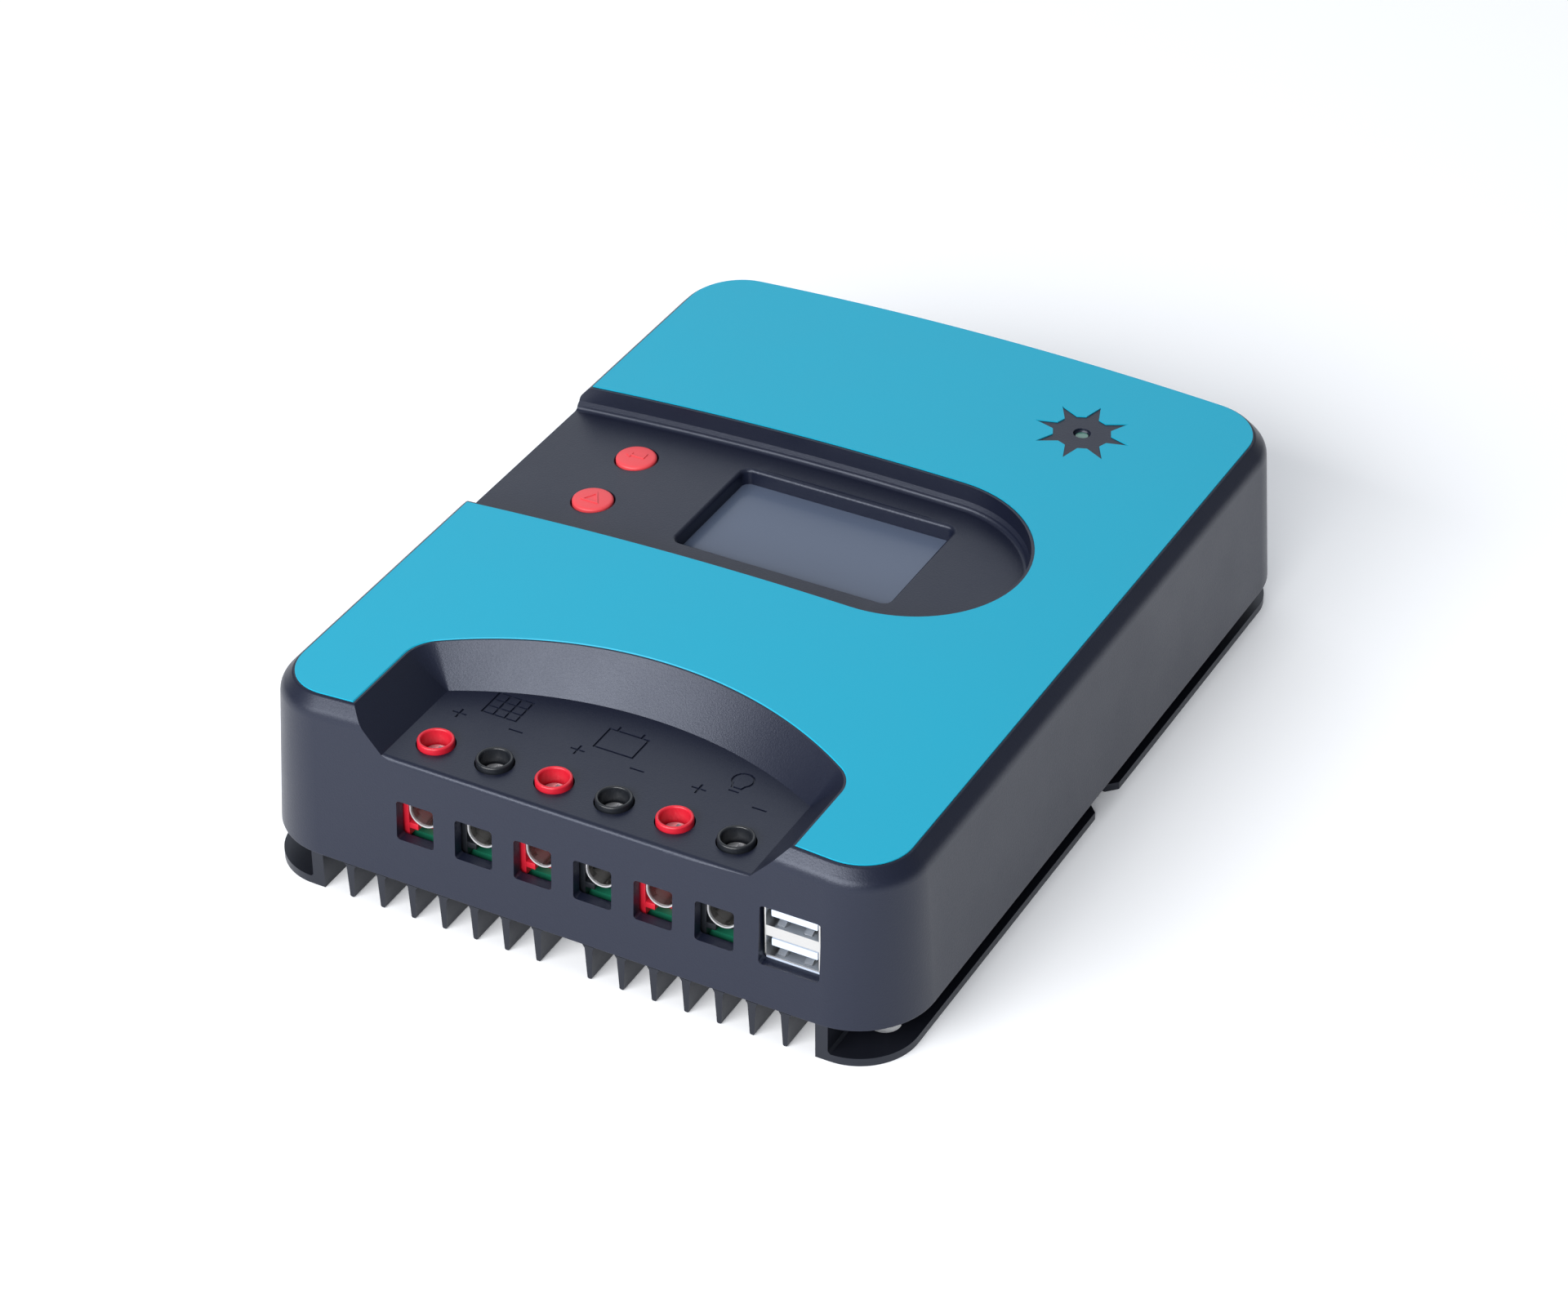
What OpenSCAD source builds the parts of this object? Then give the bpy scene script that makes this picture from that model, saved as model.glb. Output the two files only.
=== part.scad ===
// Solar charge controller on a finned heat sink, with six wire-clamp terminals and a double USB socket.
// Z is up from the mounting flanges, +Y points from the terminal end to the far end, millimetres.

/* [Cover] */
// Width of the cover at its bottom rim
cover_w = 161.6; // [152:0.2:194]
// Length of the cover at its bottom rim
cover_l = 210.4; // [206:0.2:253]
// Height of the cover rim above the mounting face
rim_z = 9; // [7:0.5:11]
// Height of the walls where the top chamfer starts
wall_top_z = 45; // [45:0.5:54]
// How far each wall leans in between the rim and the chamfer
wall_lean = 2.2; // [1:0.1:3]
// Corner radius at the rim
corner_r = 18.2; // [14:0.2:20]
// Thickness of the moulded walls
wall_t = 2.6; // [2:0.1:3]
// Width of the top chamfer
chamfer_w = 3; // [2:0.1:4]
// Height of the top chamfer
chamfer_h = 3.3; // [2.4:0.1:4]
// Rise of the arched top between its side edges and its middle
crown = 3; // [2:0.1:4]

/* [Display recess] */
// Place of the recess front wall along the length
recess_front_y = -18.3; // [-22:0.1:-16]
// Width of the recess between its front and back walls
recess_w = 56; // [54:0.5:60]
// Place of the round right end of the recess
recess_end_x = 52.6; // [50:0.1:60]
// Depth of the recess floor below the arched top
recess_depth = 6.2; // [6:0.1:7.4]
// Depth of the narrow shelf round the recess
shelf_depth = 4.2; // [3.4:0.1:4.6]
// Width of the narrow shelf
shelf_w = 1.8; // [1:0.1:2.2]
// Width of the display opening
lcd_open_w = 55.3; // [46:0.1:57]
// Length of the display opening
lcd_open_l = 34.4; // [28.6:0.1:36]
// Centre of the display opening across the width
lcd_x = -0.4; // [-1:0.1:1]
// Centre of the display opening and of the two buttons along the length
lcd_y = 11.6; // [10.5:0.1:12.5]

/* [Buttons] */
// Diameter of a button cap
button_d = 9.8; // [8.2:0.1:11]
// Distance between the two buttons
button_pitch = 20.4; // [18:0.1:22]
// Place of the buttons across the width
button_x = -53.6; // [-56:0.1:-50]
// Travel of a button
button_travel = 0.3; // [0.25:0.05:0.35]
// Side clearance of a cap in its hole
button_gap = 0.3; // [0.2:0.05:0.4]

/* [Terminals] */
// Number of terminals
terminal_count = 6; // [4:1:6]
// Distance between neighbouring terminals
terminal_pitch = 14.85; // [14.6:0.05:15.2]
// Place of the first terminal across the width
terminal_x0 = -37.05; // [-38:0.05:-36]
// Width of one terminal housing
terminal_w = 14.2; // [13.6:0.1:14.4]
// Width of a wire window
window_w = 9.4; // [8.6:0.1:10]
// Height of a wire window
window_h = 9.9; // [9.2:0.1:11]
// Height of the lower edge of the wire windows
window_z = 20.5; // [20.3:0.1:21]
// Outer diameter of the collar round a screw well
collar_d = 8.3; // [8:0.1:9]
// Inner diameter of a screw well
well_d = 6.6; // [6.5:0.1:7]
// Height of the collars above the terminal recess floor
collar_rise = 1.4; // [0.6:0.1:2]
// Diameter of a clamp screw thread
clamp_screw_d = 4; // [3.4:0.1:4.6]
// Lift of a clamp cage from open to closed
clamp_travel = 2.8; // [2:0.1:2.8]

/* [Terminal recess] */
// Height of the recess floor
ledge_z = 41; // [40.8:0.1:42]
// Half width of the recess floor
ledge_half_w = 45.2; // [44.8:0.1:47]
// Radius of the curved back wall at the floor
ledge_r = 93; // [88:1:110]
// Place of the middle of the back wall at the floor
ledge_back_y = -64.4; // [-68:0.1:-62]
// Lean of the side walls, sideways per unit of height
ledge_side_lean = 0.96; // [0.8:0.02:1]
// Lean of the back wall
ledge_back_lean = 0.66; // [0.5:0.02:0.8]

/* [USB socket] */
// Place of the socket across the width
usb_x = 55.15; // [54.6:0.05:55.6]
// Width of one port opening
port_w = 12.5; // [12.4:0.1:12.6]
// Height of one port opening
port_h = 5.1; // [5:0.05:5.2]
// Wall between the two ports
port_divider = 2.7; // [2.2:0.1:2.8]
// Height of the bottom of the lower port
port_z = 21.5; // [21.4:0.1:21.6]

/* [Heat sink] */
// Distance between neighbouring fins
fin_pitch = 8; // [7.6:0.05:8.1]
// Free distance across the middle between the two groups of fins
fin_middle = 12.9; // [11.6:0.1:13.4]
// Fins in each group, between the middle and the outer wall
fin_count = 7; // [6:1:7]
// Thickness of a fin where it joins the base
fin_root = 2; // [1.6:0.1:2.4]
// Thickness of a fin at its tip
fin_tip = 1.1; // [0.8:0.1:1.4]
// Thickness of the base plate
base_t = 4; // [3.4:0.1:4.4]
// Thickness of the outer walls
side_wall_t = 3; // [2.4:0.1:3.4]
// Distance between the outer edges of the two flanges
flange_w = 157.9; // [150:0.1:190]
// Thickness of the flanges
flange_t = 2; // [1.6:0.1:2.6]
// Corner radius of the flanges
flange_r = 14; // [10:0.5:16]
// Width of a mounting notch
notch_w = 8; // [5:0.1:9]
// Depth of a mounting notch from the flange edge
notch_depth = 10; // [8:0.1:11]
// Place of the notches along the length
notch_y = 4; // [-10:0.5:10]

/* [Boards] */
// Height of the top face of the main board
board_top_z = 19.2; // [19:0.1:19.4]
// Thickness of both circuit boards
board_t = 1.6; // [1.4:0.1:1.8]
// Gap between the display opening wall and the display board, filled by window and display
lcd_stack = 3.8; // [3.6:0.1:4.2]
// Thickness of the clear window
window_t = 1.2; // [1:0.1:1.4]
// Depth of the display opening below the recess floor
bezel_depth = 4.4; // [4:0.1:4.6]

/* [Label] */
// Thickness of the label overlay
label_t = 0.25; // [0.2:0.05:0.5]
// Distance from the chamfer to the label
label_gap = 0.4; // [0.2:0.1:1]
// Place of the sun across the width
sun_x = 39.2; // [36:0.1:42]
// Place of the sun along the length
sun_y = 71.3; // [69:0.1:74]
// Radius of the sun at its ray tips
sun_r = 12; // [10:0.1:13]

/* [Hidden] */
clearance = 0.3;
thread_fit = 0.08;
round_fn = 64;
wide_fn = 720;
top_z = wall_top_z + chamfer_h + crown;
lean = wall_lean / (wall_top_z - rim_z);
plateau_x = cover_w / 2 - wall_lean - chamfer_w;
plateau_y = cover_l / 2 - wall_lean - chamfer_w;
crown_r = (plateau_x * plateau_x + crown * crown) / (2 * crown);
corner_x = cover_w / 2 - corner_r;
corner_y = cover_l / 2 - corner_r;
inner_front_y = -(cover_l / 2 - wall_t - lean * (board_top_z + 12 - rim_z));
recess_r = recess_w / 2;
recess_y = recess_front_y + recess_r;
recess_cx = recess_end_x - recess_r;
floor_z = top_z - recess_depth;
bezel_z = floor_z - bezel_depth;
tray_t = 2.2;
ledge_rise = top_z + 1.7 - ledge_z;
display_top_z = bezel_z - lcd_stack;
display_z = display_top_z - board_t;
base_z = rim_z + base_t;
board_z = board_top_z - board_t;
side_wall_x = fin_middle / 2 + (fin_count - 1) * fin_pitch + fin_pitch - fin_root / 2 + 0.2;
flange_y = cover_l / 2 - 0.2;
post_x = corner_x + 7.9;
post_y = corner_y + 3;
post_d = 7.5;
board_x = cover_w / 2 - wall_t - lean * 10 - 3.6;
board_y = cover_l / 2 - wall_t - 4;
spacer_x = board_x - 6;
spacer_ys = [-post_y + 16, 10, post_y - 12];
terminal_y = -(cover_l / 2) + 11.2;
terminal_front_y = inner_front_y + 0.4;
terminal_back_y = terminal_front_y + 17.2;
terminal_top_z = ledge_z - tray_t - 2.2;
bar_z = 27.8;
bar_t = 1.2;
bar_half_w = 3.25;
cage_in = 4.1;
cage_t = 0.9;
cage_y = terminal_y;
cage_l = 9;
nut_z = bar_z + bar_t + 0.4;
nut_t = 2.6;
head_h = 2.4;
head_d = 6.1;
button_floor_z = top_z - crown_r + sqrt(pow(crown_r - recess_depth, 2) - button_x * button_x);
cap_top_z = button_floor_z + 0.9;
lip_top_z = button_floor_z - tray_t - 0.68;
lip_z = lip_top_z - 0.8;
switch_top_z = lip_z - button_travel - clearance;
usb_front_y = inner_front_y - wall_t + 1.1;
usb_top_z = port_z + 2 * port_h + port_divider + 0.3;
transistor_y = 30;
transistor_xs = [-45, -27, -9, 9, 27, 45];
core_xs = [-42, -3];
core_y = 66;
core_z = board_top_z + 2.4;
display_bosses = [[-61, -10], [-61, 34], [36, -10], [44, 58]];

function terminal_x(i) = terminal_x0 + i * terminal_pitch;
function is_plus(i) = i % 2 == 0;

// ---------- helpers ----------

module along_y(length) rotate([90, 0, 0]) linear_extrude(length, center = true) children();

module along_x(length) rotate([90, 0, 90]) linear_extrude(length, center = true) children();

module four_corners(x, y) for (sx = [-1, 1], sy = [-1, 1]) translate([sx * x, sy * y, 0]) children();

module rounded_rect(w, l, r) {
  square([w, l - 2 * r], center = true);
  square([w - 2 * r, l], center = true);
  four_corners(w / 2 - r, l / 2 - r) circle(r, $fn = round_fn);
}

module block(w, l, h, r) linear_extrude(h) rounded_rect(w, l, r);

// Everything below the arched top, lowered by drop
module under_crown(drop)
  translate([0, 0, top_z - crown_r]) rotate([90, 0, 0])
    cylinder(r = crown_r - drop, h = 2 * cover_l, center = true, $fn = wide_fn);

// Block with four leaning walls and conical corners, drawn inward from the cover's outside
module leaning_box(inward, z0, z1) {
  hx = cover_w / 2 - inward;
  hy = cover_l / 2 - inward;
  r = corner_r - inward;
  i0 = lean * (z0 - rim_z);
  i1 = lean * (z1 - rim_z);
  hull() four_corners(hx - r, hy - r) translate([0, 0, z0])
    cylinder(h = z1 - z0, r1 = r - i0, r2 = r - i1, $fn = 48);
}

// Space inside the top chamfer, which follows the arch along both ends
module chamfer_space() {
  k = chamfer_w / chamfer_h;
  r = plateau_x - corner_x;
  below = top_z - rim_z + 6;
  above = 4;
  tilt = asin(corner_x / crown_r);
  hull() for (a = [-tilt : tilt / 5 : tilt + 0.01], sy = [-1, 1])
    translate([0, 0, top_z - crown_r]) rotate([0, a, 0]) translate([0, sy * corner_y, crown_r - below])
      cylinder(h = below + above, r1 = r + below * k, r2 = r - above * k, $fn = 48);
}

module cover_outside() intersection() {
  leaning_box(0, rim_z, top_z + 1);
  chamfer_space();
  under_crown(0);
}

module recess_plan(inward) {
  translate([-cover_w, recess_front_y + inward]) square([cover_w + recess_cx, recess_w - 2 * inward]);
  translate([recess_cx, recess_y]) circle(recess_r - inward, $fn = 128);
}

module recess_space(inward, depth) difference() {
  translate([0, 0, rim_z + 10]) linear_extrude(top_z) recess_plan(inward);
  under_crown(depth);
}

// Outline of the terminal recess at a height above its floor
module ledge_plan(height, extra, round_r) {
  hw = ledge_half_w + ledge_side_lean * height + extra;
  offset(r = round_r) offset(delta = -round_r) intersection() {
    translate([0, ledge_back_y - ledge_r]) circle(ledge_r + ledge_back_lean * height + extra, $fn = 160);
    translate([-hw, -cover_l / 2 - 12]) square([2 * hw, cover_l / 2]);
  }
}

module ledge_space(extra) hull() {
  translate([0, 0, ledge_z - extra]) linear_extrude(0.01) ledge_plan(0, extra, 0.6);
  translate([0, 0, ledge_z + ledge_rise - extra]) linear_extrude(0.01) ledge_plan(ledge_rise, extra, 9);
}

module sun(r) {
  circle(r * 0.57, $fn = round_fn);
  for (i = [0 : 7]) rotate(i * 45 + 3) polygon([[r * 0.5, -r * 0.2], [r, 0], [r * 0.5, r * 0.2]]);
}

module pan_screw(d, length, head, height) {
  cylinder(d = d, h = length, $fn = 32);
  translate([0, 0, length]) difference() {
    cylinder(d1 = head, d2 = head * 0.86, h = height, $fn = 32);
    translate([0, 0, height * 0.45]) for (a = [0, 90]) rotate(a)
      translate([-head * 0.28, -head * 0.07, 0]) cube([head * 0.56, head * 0.14, height]);
  }
}

// ---------- cover ----------

module cover_posts() {
  four_corners(post_x, post_y) translate([0, 0, base_z + 0.4]) cylinder(d = post_d, h = top_z, $fn = 48);
  for (p = display_bosses) translate([p[0], p[1], display_top_z]) cylinder(d = 6, h = 30, $fn = 48);
  translate([sun_x, sun_y, display_top_z + 6]) cylinder(d = 7.4, h = 30, $fn = 48);
}

module top_cover() color([0.16, 0.17, 0.21]) difference() {
  cover_outside();
  difference() {
    intersection() {
      leaning_box(wall_t, rim_z - 1, top_z);
      under_crown(wall_t);
    }
    recess_space(-tray_t, recess_depth + tray_t);
    ledge_space(tray_t);
    cover_posts();
    translate([lcd_x, lcd_y, bezel_z]) block(lcd_open_w + 4, lcd_open_l + 4, 20, 3);
  }
  recess_space(0, shelf_depth);
  recess_space(shelf_w, recess_depth);
  ledge_space(0);
  translate([lcd_x, lcd_y, bezel_z - 1]) block(lcd_open_w, lcd_open_l, 30, 2);
  for (s = [-1, 1]) translate([button_x, lcd_y + s * button_pitch / 2, 30])
    cylinder(d = button_d + 2 * button_gap, h = 30, $fn = round_fn);
  for (i = [0 : terminal_count - 1]) {
    translate([terminal_x(i), terminal_front_y - 3.6, window_z + window_h / 2]) rotate([90, 0, 0])
      translate([0, 0, -4]) block(window_w, window_h, 10, 0.8);
    translate([terminal_x(i), terminal_y, 30])
      cylinder(d = collar_d + 2 * clearance, h = 20, $fn = 48);
  }
  usb_mid_z = (port_z + usb_top_z) / 2 - 0.6;
  translate([usb_x, terminal_front_y - 3.6, usb_mid_z]) rotate([90, 0, 0])
    translate([0, 0, -4]) block(port_w + 2, usb_top_z - port_z + 1.6, 10, 0.8);
  four_corners(post_x, post_y) translate([0, 0, base_z - 1]) cylinder(d = 3 + 2 * thread_fit, h = 13, $fn = 32);
  for (p = display_bosses) translate([p[0], p[1], display_top_z - 1])
    cylinder(d = 2.5 + 2 * thread_fit, h = 5, $fn = 32);
  translate([sun_x, sun_y, 0]) cylinder(d = 3 + 2 * thread_fit, h = 80, $fn = 32);
}

module front_label() color([0.2, 0.66, 0.79]) intersection() {
  difference() {
    under_crown(-label_t);
    under_crown(0);
  }
  translate([0, 0, top_z - crown - 2]) linear_extrude(crown + 4) difference() {
    rounded_rect(2 * (plateau_x - label_gap), 2 * (plateau_y - label_gap), corner_r - wall_lean - chamfer_w - label_gap);
    recess_plan(-0.8);
    ledge_plan(top_z - 0.8 - ledge_z, 0.5, 8);
    translate([sun_x, sun_y]) sun(sun_r);
  }
}

// ---------- heat sink ----------

module fin_profile() {
  for (s = [-1, 1]) {
    for (i = [0 : fin_count - 1]) translate([s * (fin_middle / 2 + i * fin_pitch), 0]) polygon([
      [-fin_tip / 2, 0], [fin_tip / 2, 0], [fin_root / 2, rim_z + 0.5], [-fin_root / 2, rim_z + 0.5]
    ]);
    translate([s * (side_wall_x + side_wall_t / 2) - side_wall_t / 2, 0]) square([side_wall_t, rim_z + 0.5]);
    translate([s > 0 ? side_wall_x : -flange_w / 2, 0]) square([flange_w / 2 - side_wall_x, flange_t]);
  }
}

// Plan of one mounting notch, with a lead-in at the flange edge
module notch_plan() {
  edge = flange_w / 2;
  centre = edge - notch_depth + notch_w / 2;
  translate([centre, 0]) circle(d = notch_w, $fn = 48);
  translate([centre, -notch_w / 2]) square([notch_depth, notch_w]);
  polygon([[edge - 2.4, -notch_w / 2], [edge + 0.2, -notch_w / 2 - 2.6], [edge + 0.2, notch_w / 2 + 2.6],
    [edge - 2.4, notch_w / 2]]);
}

module heat_sink() color([0.13, 0.14, 0.17]) difference() {
  union() {
    intersection() {
      along_y(2 * flange_y) fin_profile();
      translate([0, 0, -1]) block(flange_w, 2 * flange_y, rim_z + 1, flange_r);
    }
    translate([0, 0, rim_z]) block(
      2 * (cover_w / 2 - wall_t - lean * base_t - clearance),
      2 * (cover_l / 2 - wall_t - lean * base_t - clearance),
      base_t, corner_r - wall_t - 0.4);
  }
  for (s = [-1, 1]) translate([0, notch_y, -1]) rotate(s > 0 ? 0 : 180)
    linear_extrude(flange_t + 2) notch_plan();
  four_corners(post_x, post_y) {
    translate([0, 0, -1]) cylinder(d = 7.4, h = flange_t + 2, $fn = 32);
    cylinder(d = 3.4, h = base_z + 1, $fn = 32);
  }
  for (sx = [-1, 1], y = spacer_ys) translate([sx * spacer_x, y, base_z - 3.4])
    cylinder(d = 3 + 2 * thread_fit, h = 6, $fn = 32);
  for (x = transistor_xs) translate([x, transistor_y + 5.6, base_z - 3.4])
    cylinder(d = 3 + 2 * thread_fit, h = 6, $fn = 32);
}

// ---------- boards ----------

module main_board() color([0.05, 0.4, 0.26]) difference() {
  translate([0, 0, board_z]) block(2 * board_x, 2 * board_y, board_t, 9);
  translate([0, 0, board_z - 1]) {
    four_corners(post_x, post_y) cylinder(d = post_d + 2, h = board_t + 2, $fn = 32);
    for (sx = [-1, 1], y = spacer_ys) translate([sx * spacer_x, y, 0]) cylinder(d = 3.3, h = board_t + 2, $fn = 32);
    for (x = transistor_xs) translate([x, transistor_y + 5.6, 0]) cylinder(d = 7, h = board_t + 2, $fn = 32);
  }
}

module display_board() color([0.06, 0.36, 0.24]) difference() {
  translate([0, 0, display_z]) linear_extrude(board_t) {
    translate([-65, -14]) square([105, 52]);
    translate([30, 30]) square([19, 47]);
  }
  for (p = display_bosses) translate([p[0], p[1], display_z - 1]) cylinder(d = 2.8, h = 4, $fn = 32);
}

module lcd_module() color([0.75, 0.77, 0.8]) translate([lcd_x, lcd_y, display_top_z])
  block(lcd_open_w + 4.6, lcd_open_l + 5.4, lcd_stack - window_t, 1);

module lcd_window() color([0.42, 0.47, 0.54]) translate([lcd_x, lcd_y, bezel_z - window_t])
  block(lcd_open_w + 3, lcd_open_l + 3, window_t, 2);

module status_led() color([0.85, 0.9, 0.85]) translate([sun_x - 1.75, sun_y - 1.4, display_top_z])
  cube([3.5, 2.8, 1.9]);

module light_pipe() color([0.8, 0.9, 0.85]) translate([sun_x, sun_y, display_top_z + 1.9]) {
  crown_z = top_z - crown_r + sqrt(crown_r * crown_r - sun_x * sun_x);
  cylinder(d = 3, h = crown_z - 0.7 - display_top_z - 1.9, $fn = 48);
  cylinder(d = 5, h = 1, $fn = 48);
}

// ---------- buttons ----------

module button_cap() {
  r = button_d / 2;
  rotate_extrude($fn = round_fn) polygon([
    [0, lip_z], [r + 1, lip_z], [r + 1, lip_top_z], [r, lip_top_z], [r, cap_top_z - 0.5], [r - 0.5, cap_top_z - 0.1],
    [r - 1.2, cap_top_z], [0, cap_top_z]
  ]);
}

module button_up() color([0.93, 0.3, 0.33]) translate([button_x, lcd_y - button_pitch / 2, 0]) {
  button_cap();
  translate([0, -0.4, cap_top_z]) linear_extrude(0.2) difference() {
    circle(2.6, $fn = 3);
    circle(1.7, $fn = 3);
  }
}

module button_enter() color([0.93, 0.3, 0.33]) translate([button_x, lcd_y + button_pitch / 2, 0]) {
  button_cap();
  translate([0, 0, cap_top_z]) linear_extrude(0.2) {
    translate([-1.4, -0.3]) square([3.4, 0.5]);
    translate([1.5, -0.3]) square([0.5, 1.7]);
    polygon([[-2.4, -0.05], [-1, -1], [-1, 0.9]]);
  }
}

module plunger(y) color([0.15, 0.15, 0.15]) translate([button_x, y, display_top_z + 0.8])
  cylinder(d = 3.4, h = lip_z - display_top_z - 0.8, $fn = 32);

module plunger_enter() plunger(lcd_y + button_pitch / 2);

module plunger_up() plunger(lcd_y - button_pitch / 2);

module switch_bodies() color([0.2, 0.2, 0.22]) for (s = [-1, 1])
  translate([button_x, lcd_y + s * button_pitch / 2, display_top_z]) difference() {
    translate([-3, -3, 0]) cube([6, 6, switch_top_z - display_top_z]);
    translate([0, 0, 0.2]) cylinder(d = 3.4 + 0.3, h = 6, $fn = 32);
  }

// ---------- USB socket ----------

module usb_ports(extra, length) for (k = [0, 1])
  translate([-(port_w / 2 + extra), 0, port_z + k * (port_h + port_divider) - extra])
    cube([port_w + 2 * extra, length, port_h + 2 * extra]);

module usb_shell() color([0.8, 0.8, 0.82]) translate([usb_x, usb_front_y, 0]) difference() {
  translate([-(port_w / 2 + 0.35), 0, port_z - 0.3]) cube([port_w + 0.7, 17, usb_top_z - port_z + 0.3]);
  translate([0, -1, 0]) usb_ports(0, 15);
  translate([-(port_w / 2 - 1), 3, port_z + port_h + 0.4]) cube([port_w - 2, 20, port_divider - 0.8]);
}

module usb_insulator() color([0.86, 0.9, 0.97]) translate([usb_x, usb_front_y, 0]) {
  for (k = [0, 1]) {
    z = port_z + k * (port_h + port_divider);
    translate([-5.55, 1.4, z + port_h - 2.1]) cube([11.1, 11, 1.7]);
    translate([-(port_w / 2 - 0.1), 12.2, z + 0.1]) cube([port_w - 0.2, 1.7, port_h - 0.2]);
  }
  translate([-(port_w / 2 + 0.35), 1, board_top_z]) cube([port_w + 0.7, 16, port_z - 0.3 - board_top_z]);
}

module usb_contacts() color([0.85, 0.68, 0.3]) translate([usb_x, usb_front_y, 0])
  for (k = [0, 1], x = [-3.5, -1, 1, 3.5])
    translate([x - 0.5, 1.8, port_z + k * (port_h + port_divider) + port_h - 2.35]) cube([1, 9, 0.25]);

// ---------- terminals ----------

module terminal_housing(i) color(is_plus(i) ? [0.78, 0.12, 0.16] : [0.07, 0.08, 0.09])
  translate([terminal_x(i), 0, 0]) difference() {
    union() {
      translate([-terminal_w / 2, terminal_front_y, board_top_z])
        cube([terminal_w, terminal_back_y - terminal_front_y, terminal_top_z - board_top_z]);
      translate([0, terminal_y, terminal_top_z - 0.5])
        cylinder(d = collar_d, h = ledge_z + collar_rise - terminal_top_z + 0.5, $fn = 48);
    }
    translate([0, terminal_y, terminal_top_z]) cylinder(d = well_d, h = 20, $fn = 48);
    translate([0, terminal_y, 30]) cylinder(d = clamp_screw_d + 0.3, h = 20, $fn = 32);
    translate([-(cage_in + cage_t + 0.4), cage_y - cage_l / 2 - 0.4, bar_z - 6.2])
      cube([2 * (cage_in + cage_t + 0.4), cage_l + 0.8, nut_z + nut_t + clamp_travel + 6.6 - bar_z]);
    translate([-4.4, terminal_front_y - 1, bar_z - 6.4]) cube([8.8, 4, 8.5]);
    translate([-bar_half_w - 0.05, cage_y, bar_z - 0.05])
      cube([2 * bar_half_w + 0.1, 8.05, bar_t + 0.1]);
    translate([-bar_half_w - 0.05, cage_y + 6.75, board_top_z - 1])
      cube([2 * bar_half_w + 0.1, 1.3, bar_z - board_top_z + 2]);
  }

module terminal_bar(i) color([0.8, 0.8, 0.82]) translate([terminal_x(i), 0, 0]) {
  translate([-bar_half_w, cage_y - cage_l / 2 - 0.3, bar_z]) cube([2 * bar_half_w, cage_l / 2 + 8.3, bar_t]);
  translate([-bar_half_w, cage_y + 6.8, board_top_z]) cube([2 * bar_half_w, 1.2, bar_z + bar_t - board_top_z]);
}

module cage_profile() difference() {
  union() {
    translate([0, bar_z - 0.9]) circle(cage_in + cage_t, $fn = round_fn);
    translate([-(cage_in + cage_t), bar_z - 0.9]) square([2 * (cage_in + cage_t), nut_z + nut_t - bar_z + 0.9]);
  }
  translate([0, bar_z - 0.9]) circle(cage_in, $fn = round_fn);
  translate([-cage_in, bar_z - 0.9]) square([2 * cage_in, nut_z - bar_z + 0.9]);
}

module terminal_cage(i) color([0.78, 0.78, 0.8]) translate([terminal_x(i), cage_y, 0]) difference() {
  along_y(cage_l) cage_profile();
  translate([0, 0, nut_z - 1]) cylinder(d = clamp_screw_d + 2 * thread_fit, h = nut_t + 3, $fn = 32);
}

module terminal_screw(i) color([0.83, 0.83, 0.85])
  translate([terminal_x(i), terminal_y, nut_z])
    pan_screw(clamp_screw_d, terminal_top_z + 0.1 - nut_z, head_d, head_h);

// ---------- fasteners ----------

module cover_screws() color([0.2, 0.2, 0.21]) four_corners(post_x, post_y)
  translate([0, 0, base_z + 9]) mirror([0, 0, 1]) pan_screw(3, base_t + 9, 5.6, 2.2);

module board_spacers() color([0.82, 0.72, 0.4]) for (sx = [-1, 1], y = spacer_ys)
  translate([sx * spacer_x, y, base_z]) difference() {
    cylinder(d = 6, h = board_z - base_z, $fn = 6);
    translate([0, 0, -1]) cylinder(d = 3.16, h = 10, $fn = 32);
  }

module board_screws() color([0.8, 0.8, 0.82]) for (sx = [-1, 1], y = spacer_ys)
  translate([sx * spacer_x, y, base_z - 3]) pan_screw(3, board_top_z - base_z + 3, 5.6, 2.2);

module display_screws() color([0.8, 0.8, 0.82]) for (p = display_bosses)
  translate([p[0], p[1], display_z + 5]) mirror([0, 0, 1]) pan_screw(2.5, 5, 4.6, 1.8);

// ---------- power parts ----------

module inductor_cores() color([0.75, 0.72, 0.3]) for (x = core_xs) translate([x, core_y, core_z])
  rotate_extrude($fn = round_fn) translate([8, 0]) square([9, 14]);

module inductor_windings() color([0.7, 0.35, 0.15]) for (x = core_xs) translate([x, core_y, core_z])
  rotate(30) rotate_extrude(angle = 300, $fn = round_fn) difference() {
    translate([5.8, -2.4]) square([13.4, 18.8]);
    translate([7.9, -0.1]) square([9.2, 14.2]);
  }

module capacitor(h) {
  cylinder(d = 16, h = h - 1, $fn = 48);
  translate([0, 0, h - 1]) cylinder(d1 = 16, d2 = 14, h = 1, $fn = 48);
}

module input_capacitors() color([0.1, 0.12, 0.2]) for (x = [-52, -34, -16])
  translate([x, terminal_back_y + 21, board_top_z]) capacitor(16);

module output_capacitors() color([0.12, 0.14, 0.24]) for (x = [8, 26, 44])
  translate([x, terminal_back_y + 21, board_top_z]) capacitor(16);

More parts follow.
